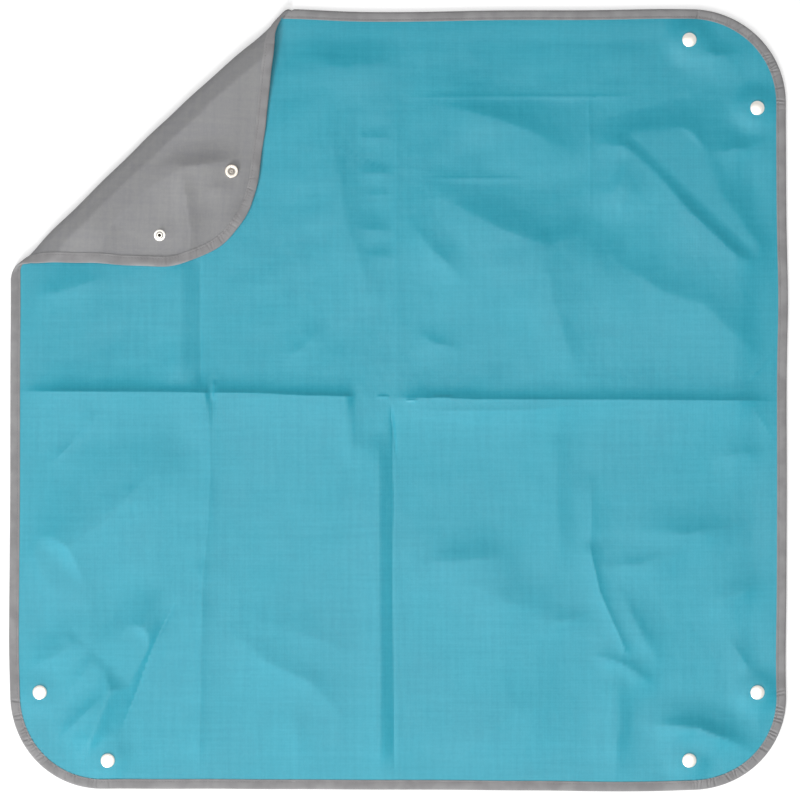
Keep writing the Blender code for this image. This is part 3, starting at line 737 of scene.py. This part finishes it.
# The tape's section: distance in from the edge of the mat, and height, in millimetres,
# once round from the inner edge of the upper ply, over the top, down the edge and back inside
TAPE_SECTION = [
    (10.0, 2.00), (10.0, 2.38), (9.6, 2.52), (8.9, 2.56), (8.3, 2.48), (7.8, 2.40), (7.3, 2.48), (6.6, 2.62),
    (5.2, 2.74), (3.6, 2.76), (2.0, 2.68), (1.0, 2.46), (0.35, 2.05), (0.05, 1.60), (0.0, 1.30), (0.05, 0.95),
    (0.35, 0.50), (1.0, 0.14), (2.0, 0.04), (3.6, 0.0), (5.2, 0.0), (6.6, 0.04), (7.3, 0.12), (7.8, 0.18),
    (8.3, 0.12), (9.2, 0.04), (10.0, 0.12), (10.0, 0.50), (9.0, 0.56), (5.0, 0.56), (1.4, 0.62), (0.7, 1.00),
    (0.7, 1.70), (1.4, 2.12), (5.0, 2.18), (9.0, 2.06),
]

STRAIGHT_X = 2 * (HALF_WIDTH - CORNER_RADIUS)
STRAIGHT_Y = 2 * (HALF_LENGTH - CORNER_RADIUS)
ARC = CORNER_RADIUS * math.pi / 2
PERIMETER = 2 * STRAIGHT_X + 2 * STRAIGHT_Y + 4 * ARC


def outline(s):
    """Points and inward directions on the mat's outline, clockwise from the left end of the straight top edge."""
    s = np.mod(s, PERIMETER)
    x, y, inx, iny = (np.zeros_like(s) for _ in range(4))
    start = 0.0
    # each side: where it starts, the way that it runs, and its length, then the corner after it
    sides = (
        ((-STRAIGHT_X / 2, HALF_LENGTH), (1, 0), STRAIGHT_X),
        ((HALF_WIDTH, STRAIGHT_Y / 2), (0, -1), STRAIGHT_Y),
        ((STRAIGHT_X / 2, -HALF_LENGTH), (-1, 0), STRAIGHT_X),
        ((-HALF_WIDTH, -STRAIGHT_Y / 2), (0, 1), STRAIGHT_Y),
    )
    for (sx, sy), (dx, dy), length in sides:
        on = (s >= start) & (s < start + length)
        run = s - start
        x = np.where(on, sx + dx * run, x)
        y = np.where(on, sy + dy * run, y)
        inx, iny = np.where(on, dy, inx), np.where(on, -dx, iny)
        start += length
        on = (s >= start) & (s < start + ARC)
        turn = (s - start) / CORNER_RADIUS
        ex, ey = sx + dx * length, sy + dy * length
        centre_x, centre_y = ex + dy * CORNER_RADIUS, ey - dx * CORNER_RADIUS
        out_x = -dy * np.cos(turn) + dx * np.sin(turn)
        out_y = dx * np.cos(turn) + dy * np.sin(turn)
        x = np.where(on, centre_x + out_x * CORNER_RADIUS, x)
        y = np.where(on, centre_y + out_y * CORNER_RADIUS, y)
        inx, iny = np.where(on, -out_x, inx), np.where(on, -out_y, iny)
        start += ARC
    return x, y, inx, iny


# The small tucks that the tape makes round the corners: how far they fade out past a corner, their spacings and
# how often each one comes, their widths, how much they lean, and their depth. They start a little way in
# from the edge.
TUCK_FADE = 0.014
TUCK_SPACINGS = [0.0030, 0.0042, 0.0066, 0.0140]
TUCK_CHANCES = [0.3, 0.3, 0.25, 0.15]
TUCK_WIDTHS = (0.0008, 0.0013)
TUCK_LEAN = 0.35
TUCK_DEPTH = 0.0013
TUCK_START = 0.0005
TUCK_EASE = 0.0025
# What share of a tuck's depth the tape can sink before it meets the sheet, and how far the lower ply follows
SINK_SHARE = 0.8
LOWER_SHARE = 0.35


def on_corner(s):
    """1 on the rounded corners, fading to 0 on the straight sides."""
    s = np.mod(s, PERIMETER)
    nearest = np.full_like(s, 1.0)
    start = 0.0
    for length in (STRAIGHT_X, STRAIGHT_Y, STRAIGHT_X, STRAIGHT_Y):
        middle = start + length + ARC / 2
        gap = np.abs(s - middle)
        nearest = np.minimum(nearest, np.minimum(gap, PERIMETER - gap))
        start += length + ARC
    return 1 - smooth((nearest - ARC / 2) / TUCK_FADE)


def make_tucks():
    """Place, amount, width and lean of each tuck."""
    chance = np.random.default_rng(21)
    tucks, s = [], 0.0
    while s < PERIMETER:
        s += chance.choice(TUCK_SPACINGS, p=TUCK_CHANCES) * chance.uniform(0.85, 1.15)
        tucks.append((s, chance.uniform(0.25, 1.0), chance.uniform(*TUCK_WIDTHS),
            chance.uniform(-TUCK_LEAN, TUCK_LEAN)))
    return [tuck for tuck in tucks if on_corner(np.array([tuck[0]]))[0] > 0.2]


TUCKS = make_tucks()


def tuck_depth(s, inset):
    """How far the tape's surface sinks into its tucks."""
    depth = 0 * s
    for middle, amount, width, lean in TUCKS:
        gap = np.mod(s - middle - lean * (inset - TAPE_WIDTH / 2) + PERIMETER / 2, PERIMETER) - PERIMETER / 2
        # the tape sinks in the tuck and stands up a little on both sides of it
        depth = depth + amount * (1.3 * np.exp(-(gap / width) ** 2) - 0.4 * np.exp(-(gap / (2.4 * width)) ** 2))
    return TUCK_DEPTH * np.clip(depth, -0.5, 1.0) * on_corner(s) * smooth((inset - TUCK_START) / TUCK_EASE)


def make_tape(name, start, end, material):
    """A length of the folded binding tape from start to end along the outline."""
    s, lines = start, [start]
    while s < end:
        s += TAPE_CORNER_STEP if on_corner(np.array([s]))[0] > 0.05 else TAPE_STEP
        lines.append(min(s, end))
    lines = np.array(lines)
    ring = np.array(TAPE_SECTION) * MM
    bm = bmesh.new()
    bmesh.ops.create_grid(bm, x_segments=len(lines) - 1, y_segments=len(ring), size=1.0)
    layer = bm.loops.layers.uv.new("cloth")
    lengths = np.concatenate(([0], np.cumsum(np.hypot(*(np.roll(ring, -1, 0) - ring).T))))
    for face in bm.faces:
        for loop in face.loops:
            column, row = grid_spot(loop.vert.co, len(lines) - 1, len(ring))
            loop[layer].uv = (lines[column], lengths[row])
    for vert in bm.verts:
        column, row = grid_spot(vert.co, len(lines) - 1, len(ring))
        vert.co = Vector((lines[column], *ring[row % len(ring)]))
    bmesh.ops.remove_doubles(bm, verts=bm.verts[:], dist=1e-7)
    close_ends(bm)
    mesh = to_mesh(bm, name)
    flat = mesh_points(mesh)
    s, inset, z = flat.T
    x, y, inx, iny = outline(s)
    sunk = np.minimum(tuck_depth(s, inset), SINK_SHARE * np.abs(z - SHEET_TOP - BORDER_LIFT))
    z = z + np.where(z > TAPE_MIDDLE, -sunk, LOWER_SHARE * sunk)
    move_points(mesh, place(x + inx * inset, y + iny * inset, z, border=False))
    mesh.update()
    piece = add_piece(name, mesh, material)
    mesh.set_sharp_from_angle(angle=TAPE_SHARP)
    return piece


def make_stitches(name, start, end, material):
    """The two rows of lock stitches through a length of tape, one on its upper and one on its lower ply."""
    bm = bmesh.new()
    shape = Matrix.Diagonal((*STITCH_SHAPE, 1))
    for number in range(math.ceil(start / STITCH_PITCH), math.floor(end / STITCH_PITCH)):
        s = (number + 0.5) * STITCH_PITCH
        x, y, inx, iny = (float(a) for a in outline(np.array(s)))
        turn = math.atan2(inx, -iny)
        spot = Vector((x + inx * STITCH_INSET, y + iny * STITCH_INSET, 0))
        for height in STITCH_HEIGHTS:
            where = Matrix.Translation(spot + Vector((0, 0, height))) @ Matrix.Rotation(turn, 4, "Z")
            bmesh.ops.create_uvsphere(bm, u_segments=6, v_segments=4, radius=1.0, matrix=where @ shape)
    mesh = to_mesh(bm, name)
    u, v, z = mesh_points(mesh).T
    move_points(mesh, place(u, v, z, border=False))
    mesh.update()
    return add_piece(name, mesh, material)


OUTLINE_STEPS = 60001
ROLL_LEAN = 0.74


def crossings(corner, reach):
    """The two places along the outline where it comes to a reach beyond a corner's fold: going in, then out."""
    s = np.linspace(0, PERIMETER, OUTLINE_STEPS)
    x, y, _, _ = outline(s)
    beyond = corner.reach(x, y) > reach
    go_in = s[1:][beyond[1:] & ~beyond[:-1]]
    go_out = s[1:][~beyond[1:] & beyond[:-1]]
    return float(go_in[0]), float(go_out[0])


def make_edge(kind, maker, material):
    """The tape or its stitches all round, one piece for each body and fold."""
    fold_in, fold_out = {}, {}
    for corner in CORNERS:
        fold_in[corner], fold_out[corner] = crossings(corner, -ROLL_REACH)
    # the tape leans across the fold, so that its rolls end farther out to clear the whole of its width
    flap_in, flap_out = crossings(TOP_LEFT, ROLL_REACH + TAPE_WIDTH * ROLL_LEAN)
    made = {}

    def add(key, start, end):
        piece = maker(f"{kind}_{key}", start, end, material)
        made[key] = piece
        return piece

    tl, tr, bl, br = TOP_LEFT, TOP_RIGHT, BOTTOM_LEFT, BOTTOM_RIGHT
    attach(add("top", fold_out[tl], fold_in[tr]), "upper_half")
    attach(add("bottom", fold_out[br], fold_in[bl]), "lower_half")
    for key, start, end in (("right", fold_out[tr], fold_in[br]), ("left", fold_out[bl], fold_in[tl])):
        piece = add(key, start, end)
        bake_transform(piece)
    for corner in (tr, bl, br):
        piece = add(corner.name, fold_in[corner], fold_out[corner])
        corner.half
        corner.body
        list(corner.bend())
        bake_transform(piece)
    for key, start, end in (("side_roll", fold_in[tl], flap_in), ("edge_roll", flap_out, fold_out[tl])):
        piece = add("top_left_" + key, start, end)
        tl.point(0, ROLL_START)
        tl.point(0, ROLL_END)
        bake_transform(piece)
    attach(add("top_left_flap", flap_in, flap_out + PERIMETER), tl.body)
    return made


# Sections of the snap fasteners, in millimetres: distance from the axis, and height over the place
# where each one touches the sheet
CAP_SECTION = [
    (0.0, 2.20), (1.2, 2.18), (2.6, 2.10), (4.0, 1.94), (5.2, 1.72), (6.1, 1.46), (6.8, 1.16), (7.2, 0.86),
    (7.38, 0.56), (7.36, 0.30), (7.2, 0.10), (6.9, 0.0), (6.5, 0.04), (6.2, 0.24), (2.6, 0.30), (2.0, 0.24),
]
# The end of a cap's post, turned over where it was riveted
POST_END = [
    (2.0, 0.0), (2.2, -0.12), (2.5, -0.24), (2.55, -0.42), (2.3, -0.62), (1.6, -0.76), (0.9, -0.80), (0.4, -0.62),
    (0.0, -0.56),
]
STUD_SECTION = [
    (2.3, 0.0), (5.5, 0.0), (5.8, -0.08), (5.9, -0.28), (5.82, -0.50), (5.5, -0.62), (4.3, -0.60), (3.7, -0.66),
    (3.42, -0.86), (3.30, -1.20), (3.32, -1.60), (3.46, -2.05), (3.56, -2.50), (3.50, -2.92), (3.22, -3.28),
    (2.78, -3.50), (2.25, -3.60), (1.90, -3.58), (1.72, -3.44), (1.70, -3.15), (2.1, -2.95),
    (2.7, -2.75), (2.9, -2.3),
    (2.9, -0.62), (2.3, -0.60),
]
SOCKET_SECTION = [
    (2.3, 0.0), (6.3, 0.0), (6.62, -0.08), (6.78, -0.34), (6.80, -1.20), (6.78, -2.45), (6.62, -2.80), (6.25, -2.98),
    (5.6, -3.0), (4.6, -2.96), (4.1, -2.90), (3.82, -2.76), (3.70, -2.58), (3.74, -2.40),
    (4.85, -2.36), (4.90, -1.30),
    (4.85, -1.22), (3.74, -1.18), (3.70, -0.62), (2.3, -0.60),
]
# Which faces lie inside and take a darker metal as painted shade: radius, lowest and highest, in millimetres
POST_INSIDE = (2.7, -9, -0.1)
STUD_INSIDE = (3.0, -3.4, -0.5)
SOCKET_INSIDE = (4.95, -2.5, -0.5)
SPRING_RADIUS = 0.0038
SPRING_WIRE = 0.0004
SPRING_LEVEL = -0.0019
SPRING_GAP = math.radians(30)
SNAP_STEPS = 64
SNAP_SHARP = math.radians(40)
# Gap between a fastener part and the sheet that it is riveted to
SNAP_REST = 0.0003
# How far a cap's post comes through the stud or the socket
POST_LENGTH = 0.0009


def spun(section, inside):
    """A solid of revolution about Z from a closed section, or one that ends on the axis.
    Faces within a radius, between two heights, take the second material."""
    bm = bmesh.new()
    points = [bm.verts.new((r * MM, 0, z * MM)) for r, z in section]
    edges = [bm.edges.new(pair) for pair in zip(points, points[1:])]
    if section[0][0] > 0 and section[-1][0] > 0:
        edges.append(bm.edges.new((points[-1], points[0])))
    bmesh.ops.spin(
        bm, geom=points + edges, cent=(0, 0, 0), axis=(0, 0, 1), angle=math.tau, steps=SNAP_STEPS, use_merge=True,
    )
    bmesh.ops.remove_doubles(bm, verts=bm.verts[:], dist=1e-6)
    bmesh.ops.recalc_face_normals(bm, faces=bm.faces[:])
    radius, low, high = (value * MM for value in inside)
    for face in bm.faces:
        centre = face.calc_center_median()
        face.material_index = int(centre.xy.length < radius and low < centre.z < high)
    return bm


def spring_ring():
    """The open ring of wire inside a socket."""
    bm = bmesh.new()
    turn = Matrix.Translation((SPRING_RADIUS, 0, SPRING_LEVEL)) @ Matrix.Rotation(math.pi / 2, 4, "X")
    made = bmesh.ops.create_circle(bm, cap_ends=False, segments=10, radius=SPRING_WIRE, matrix=turn)
    ring = made["verts"]
    edges = list({edge for vert in ring for edge in vert.link_edges})
    swept = math.tau - SPRING_GAP
    bmesh.ops.spin(bm, geom=ring + edges, cent=(0, 0, 0), axis=(0, 0, 1), angle=swept, steps=40)
    bmesh.ops.remove_doubles(bm, verts=bm.verts[:], dist=1e-6)
    close_ends(bm)
    return bm


def turned_corner():
    """The turn that lays the top left corner's fasteners where the folded corner has them."""
    pivot = Vector((*TOP_LEFT.pivot, ROLL_RADIUS))
    axis = Vector((*TOP_LEFT.axis, 0))
    turn = Matrix.Rotation(math.pi + DROOP, 4, axis)
    return Matrix.Translation(pivot) @ turn @ Matrix.Translation(-pivot)


def set_hardware(node, bm, corner, spot, materials):
    """Put one fastener part in its place on a corner, for the CAD node that it stands for."""
    where = Matrix.Translation(spot)
    if corner is TOP_LEFT:
        where = turned_corner() @ where
    bmesh.ops.transform(bm, matrix=where, verts=bm.verts[:])
    name = "visual_" + node
    mesh = to_mesh(bm, name)
    piece = add_piece(name, mesh, materials[0])
    for material in materials[1:]:
        mesh.materials.append(material)
    mesh.set_sharp_from_angle(angle=SNAP_SHARP)
    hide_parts(node)
    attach(piece, corner.body)


def make_snaps(nickel, satin, inner, bore, steel):
    """Two fasteners for each corner: a cap on the face, and a stud or a socket with its spring underneath."""
    for corner in CORNERS:
        for where, (x, y) in corner.snaps.items():
            has_stud = where == corner.stud_at
            seat = STUD_SEAT if has_stud else SOCKET_SEAT
            under = (x, y, seat - SNAP_REST)
            over = (x, y, seat + SHEET_TOP + SNAP_REST)
            post_level = (under[2] - POST_LENGTH - over[2]) / MM
            section = CAP_SECTION + [(r, z + post_level) for r, z in POST_END]
            # A cap's post end takes painted shade: near-black in a stud's bore, darker nickel in a socket
            metals = (nickel, bore if has_stud else inner)
            set_hardware(f"snap_cap_{corner.name}_{where}", spun(section, POST_INSIDE), corner, over, metals)
            if has_stud:
                # A stud's bore takes the near-black painted shadow
                stud = spun(STUD_SECTION, STUD_INSIDE)
                set_hardware("snap_stud_" + corner.name, stud, corner, under, (nickel, bore))
            else:
                # A socket's recess takes the darker nickel of painted shade
                socket = spun(SOCKET_SECTION, SOCKET_INSIDE)
                set_hardware("snap_socket_" + corner.name, socket, corner, under, (satin, inner))
                set_hardware("socket_spring_" + corner.name, spring_ring(), corner, under, (steel,))


def linear(code):
    """An sRGB hex colour as linear RGBA."""
    values = [int(code[i:i + 2], 16) / 255 for i in (1, 3, 5)]
    return tuple(c / 12.92 if c <= 0.04045 else ((c + 0.055) / 1.055) ** 2.4 for c in values) + (1.0,)


def connect(tree, node, inputs):
    """Give a node's inputs a value, another node's output, or another node, of which the first output counts."""
    for key, value in inputs.items():
        if isinstance(value, bpy.types.Node):
            value = value.outputs[0]
        if isinstance(value, bpy.types.NodeSocket):
            tree.links.new(value, node.inputs[key])
        else:
            node.inputs[key].default_value = value


def add_node(tree, kind, inputs=None, **settings):
    """A node with its settings and links."""
    made = tree.nodes.new("ShaderNode" + kind)
    for key, value in settings.items():
        setattr(made, key, value)
    connect(tree, made, inputs or {})
    return made


def new_material(name):
    material = bpy.data.materials.new(name)
    material.use_nodes = True
    tree = material.node_tree
    return material, tree, tree.nodes["Principled BSDF"]


def plain_weave(tree, pitch, coordinates):
    """Height of a plain weave of flat yarns, 0 to 1, from cloth coordinates in metres and the yarn spacing."""
    split = add_node(tree, "SeparateXYZ", {0: coordinates})
    waves = []
    for way in split.outputs[:2]:
        turn = add_node(tree, "Math", {0: way, 1: math.pi / pitch}, operation="MULTIPLY")
        waves.append(add_node(tree, "Math", {0: turn}, operation="SINE"))
    crossed = add_node(tree, "Math", {0: waves[0], 1: waves[1]}, operation="MULTIPLY")
    checks = add_node(tree, "Math", {0: crossed, 1: 4.0, 2: 0.5}, operation="MULTIPLY_ADD")
    on_top = add_node(tree, "Clamp", {0: checks})
    bands = [add_node(tree, "Math", {0: wave}, operation="ABSOLUTE") for wave in waves]
    return add_node(tree, "Mix", {0: on_top, 2: bands[0], 3: bands[1]})


def woven_laminate(name, light, dark, weave_depth, roughness):
    """Plain-woven plastic yarn cloth with a thin film melted on: a satin, slightly uneven sheet with a faint grid."""
    material, tree, shader = new_material(name)
    cloth = add_node(tree, "UVMap", uv_map="cloth")
    # dye and film thickness vary softly over hands' breadths, and finely over a few yarns
    broad = add_node(tree, "TexNoise", {"Vector": cloth, "Scale": 9.0, "Detail": 3.0, "Roughness": 0.55})
    fine = add_node(tree, "TexNoise", {"Vector": cloth, "Scale": 260.0, "Detail": 2.0, "Roughness": 0.6})
    # yarns that are a little thicker or thinner for a few centimetres, one way and the other
    streaks = []
    for scale in ((16, 210, 1), (210, 16, 1)):
        drawn_out = add_node(tree, "Mapping", {"Vector": cloth, "Scale": scale})
        streaks.append(add_node(tree, "TexNoise", {"Vector": drawn_out, "Scale": 1.0, "Detail": 1.0}))
    yarns = add_node(tree, "Math", {0: streaks[0], 1: streaks[1]}, operation="ADD")
    clouds = add_node(tree, "Math", {0: broad, 1: fine}, operation="ADD")
    both = add_node(tree, "Math", {0: clouds, 1: yarns}, operation="ADD")
    spread = add_node(tree, "MapRange", {0: both, 1: 1.6, 2: 2.4})
    colour = add_node(tree, "Mix", {0: spread, 6: linear(dark), 7: linear(light)}, data_type="RGBA")
    gloss = add_node(tree, "MapRange", {0: broad, 1: 0.3, 2: 0.7, 3: roughness - 0.05, 4: roughness + 0.06})
    weave = plain_weave(tree, YARN_PITCH, cloth)
    grain = add_node(tree, "Math", {0: fine, 1: 0.8, 2: weave}, operation="MULTIPLY_ADD")
    bump = add_node(tree, "Bump", {"Height": grain, "Strength": 1.0, "Distance": weave_depth})
    connect(tree, shader, {
        "Base Color": colour.outputs[2], "Roughness": gloss, "Normal": bump, "IOR": 1.5, "Specular IOR Level": 0.52,
    })
    return material


def ribbed_tape(name, light, dark):
    """Woven polyester binding tape: matt, with fine ribs across its width and a little fuzz."""
    material, tree, shader = new_material(name)
    cloth = add_node(tree, "UVMap", uv_map="cloth")
    split = add_node(tree, "SeparateXYZ", {0: cloth})
    ribs = add_node(tree, "Math", {0: split, 1: math.tau / RIB_PITCH}, operation="MULTIPLY")
    wave = add_node(tree, "Math", {0: ribs}, operation="SINE")
    fuzz = add_node(tree, "TexNoise", {"Vector": cloth, "Scale": 900.0, "Detail": 3.0})
    patch = add_node(tree, "TexNoise", {"Vector": cloth, "Scale": 60.0, "Detail": 2.0})
    spread = add_node(tree, "MapRange", {0: patch, 1: 0.35, 2: 0.65})
    colour = add_node(tree, "Mix", {0: spread, 6: linear(dark), 7: linear(light)}, data_type="RGBA")
    height = add_node(tree, "Math", {0: wave, 1: 0.35, 2: fuzz}, operation="MULTIPLY_ADD")
    bump = add_node(tree, "Bump", {"Height": height, "Strength": 1.0, "Distance": 0.00006})
    connect(tree, shader, {
        "Base Color": colour.outputs[2], "Normal": bump, "Roughness": 0.82, "Sheen Weight": 0.15,
        "Sheen Roughness": 0.5,
    })
    return material


def spun_thread(name, light, dark):
    """Twisted polyester sewing thread: matt, with its plies showing as short slanting shades."""
    material, tree, shader = new_material(name)
    spot = add_node(tree, "TexCoord").outputs["Object"]
    plies = add_node(tree, "TexNoise", {"Vector": spot, "Scale": 1800.0, "Detail": 2.0})
    colour = add_node(tree, "Mix", {0: plies, 6: linear(dark), 7: linear(light)}, data_type="RGBA")
    bump = add_node(tree, "Bump", {"Height": plies, "Strength": 1.0, "Distance": 0.00005})
    connect(tree, shader, {"Base Color": colour.outputs[2], "Normal": bump, "Roughness": 0.7})
    return material


def plated_metal(name, colour, roughness, grain):
    """Pressed sheet metal with a bright plating: soft mirror with faint handling marks."""
    material, tree, shader = new_material(name)
    spot = add_node(tree, "TexCoord").outputs["Object"]
    marks = add_node(tree, "TexNoise", {"Vector": spot, "Scale": 420.0, "Detail": 4.0, "Roughness": 0.6})
    gloss = add_node(tree, "MapRange", {0: marks, 1: 0.3, 2: 0.7, 3: roughness - 0.05, 4: roughness + 0.08})
    bump = add_node(tree, "Bump", {"Height": marks, "Strength": 1.0, "Distance": grain})
    connect(tree, shader, {"Base Color": linear(colour), "Metallic": 1.0, "Roughness": gloss, "Normal": bump})
    return material


def seen_plainly(tree):
    """1 for rays from the camera, off a shiny piece or through a clear one, and 0 for the rest."""
    rays = add_node(tree, "LightPath").outputs
    seen = add_node(tree, "Math", {0: rays["Is Camera Ray"], 1: rays["Is Glossy Ray"]}, operation="ADD")
    return add_node(tree, "Math", {0: seen, 1: rays["Is Transmission Ray"]}, operation="ADD", use_clamp=True)


# Spacing of the laminate's yarns, and of the ribs of the tape, which are coarser than the real 0.5 mm so
# that they just show
YARN_PITCH = 0.0016
RIB_PITCH = 0.0009

# Face: turquoise film on plain-woven polyethylene yarn
turquoise_cloth = woven_laminate("turquoise_laminated_weave", "#29A4BA", "#1B9BB2", 0.00006, 0.33)
# Underside: grey film on the same yarn, a little flatter
grey_cloth = woven_laminate("grey_laminated_weave", "#8B8B8B", "#828285", 0.00004, 0.38)
# Binding: grey woven polyester tape
grey_tape = ribbed_tape("grey_ribbed_polyester_tape", "#989798", "#898889")
# Lock stitches in thread of the tape's colour
grey_thread = spun_thread("grey_polyester_thread", "#A3A1A2", "#817E80")
# Caps, studs and sockets: nickel-plated brass
nickel = plated_metal("bright_nickel_plate", "#F0ECE4", 0.38, 0.00001)
# The pressed sockets underneath aren't polished before they are plated
satin_nickel = plated_metal("satin_nickel_plate", "#D8D0C5", 0.42, 0.00002)
# Inside them, and on the riveted post ends, a darker nickel is painted shade for the recess
shade_painted_nickel = plated_metal("dull_nickel_plate", "#9C968E", 0.45, 0.00002)
# Deep in the narrow bore of a stud, and on the post end in it, a near-black metal is painted shadow
shadow_painted_bore = plated_metal("tarnished_bore", "#3F3A34", 0.55, 0.00002)
# Ring springs: drawn steel wire
steel = plated_metal("drawn_spring_steel", "#B9BCC0", 0.3, 0.00001)

face = make_cloth("face", turquoise_cloth, FACE_BOTTOM, SHEET_TOP - FACE_BOTTOM)
backing = make_cloth("backing", grey_cloth, 0.0, BACKING_THICKNESS)
tape = make_edge("tape", make_tape, grey_tape)
stitches = make_edge("stitches", make_stitches, grey_thread)
make_snaps(nickel, satin_nickel, shade_painted_nickel, shadow_painted_bore, steel)

# What each piece stands for among the CAD nodes, where that isn't the node of the same name
NODES = {
    "middle": ["upper", "lower"], "right": ["right_upper", "right_lower"], "left": ["left_upper", "left_lower"],
    "top_left_roll": ["top_left", "upper"], "top_left_side_roll": ["top_left", "left_upper"],
    "top_left_edge_roll": ["top_left", "top"], "top_left_flap": ["top_left"],
}
for kind, pieces in (("face", face), ("backing", backing), ("binding", tape), ("thread", stitches)):
    for key, made in pieces.items():
        piece = made[0] if kind in ("face", "backing") else made
        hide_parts(*[f"{kind}_{node}" for node in NODES.get(key, [key])])

# Floor
bm = bmesh.new()
bmesh.ops.create_grid(bm, x_segments=1, y_segments=1, size=FLOOR_HALF)
bmesh.ops.translate(bm, vec=Vector((0, 0, FLOOR_LEVEL)), verts=bm.verts[:])
floor = add_object("floor", to_mesh(bm, "floor"))

# Pale floor: lit and shadowed as matt paper, and lifted to white where the camera or a shiny piece sees it
paper, tree, shader = new_material("pale_floor")
tree.nodes.remove(shader)
matt = add_node(tree, "BsdfDiffuse", {"Color": linear("#C9C9C9")})
pale = add_node(tree, "BsdfDiffuse", {"Color": linear("#D8D8D8")})
lift = add_node(tree, "Emission", {"Color": (1, 1, 1, 1), "Strength": 0.42})
white = add_node(tree, "AddShader", {0: pale, 1: lift})
mix = add_node(tree, "MixShader", {0: seen_plainly(tree), 1: matt, 2: white})
connect(tree, tree.nodes["Material Output"], {"Surface": mix})
floor.data.materials.append(paper)

# The backing lies on the floor and the face on the backing, the other way up on the folded corner
for key in face:
    turned = key == "top_left_flap"
    for (piece, size, area), under in (
        (face[key], "face_sheet_upper" if turned else "backing_sheet_" + key),
        (backing[key], "face_sheet_" + key if turned else "floor"),
    ):
        "folded" if "top_left" in key else "laid"

# Camera straight above
camera = add_object("camera", bpy.data.cameras.new("camera"))
camera.data.lens = CAMERA_LENS
camera.data.sensor_width = CAMERA_SENSOR
camera.location = (*VIEW_MIDDLE, VIEW_WIDTH * CAMERA_LENS / CAMERA_SENSOR)
bpy.context.scene.camera = camera


def soft_light(name, spot, target, size, power):
    """A soft box that faces a point."""
    data = bpy.data.lights.new(name, "AREA")
    data.shape = "RECTANGLE"
    data.size, data.size_y = size
    data.energy = power
    lamp = add_object(name, data)
    lamp.location = spot
    lamp.rotation_mode = "QUATERNION"
    lamp.rotation_quaternion = (Vector(target) - Vector(spot)).to_track_quat("-Z", "Y")


soft_light("key", (-2.9, -6.2, 3.8), (0, 0, 0), (2.0, 2.0), 400)
soft_light("ceiling_box", (-1.0, -1.25, 4.0), (-1.0, -1.25, 0), (4.9, 3.9), 125)

# White walls that show as background, and a dimmer ceiling
world = bpy.data.worlds.new("studio")
bpy.context.scene.world = world
world.use_nodes = True
tree = world.node_tree
upward = add_node(tree, "SeparateXYZ", {0: add_node(tree, "TexCoord").outputs["Generated"]}).outputs[2]
wall = add_node(tree, "MapRange", {0: upward, 1: 0.5, 2: 0.85, 3: 1.0, 4: 0.6})
strength = add_node(tree, "Mix", {0: seen_plainly(tree), 2: 0.19, 3: wall})
connect(tree, tree.nodes["Background"], {"Strength": strength, "Color": (1, 1, 1, 1)})

bpy.context.scene.view_settings.view_transform = "Standard"
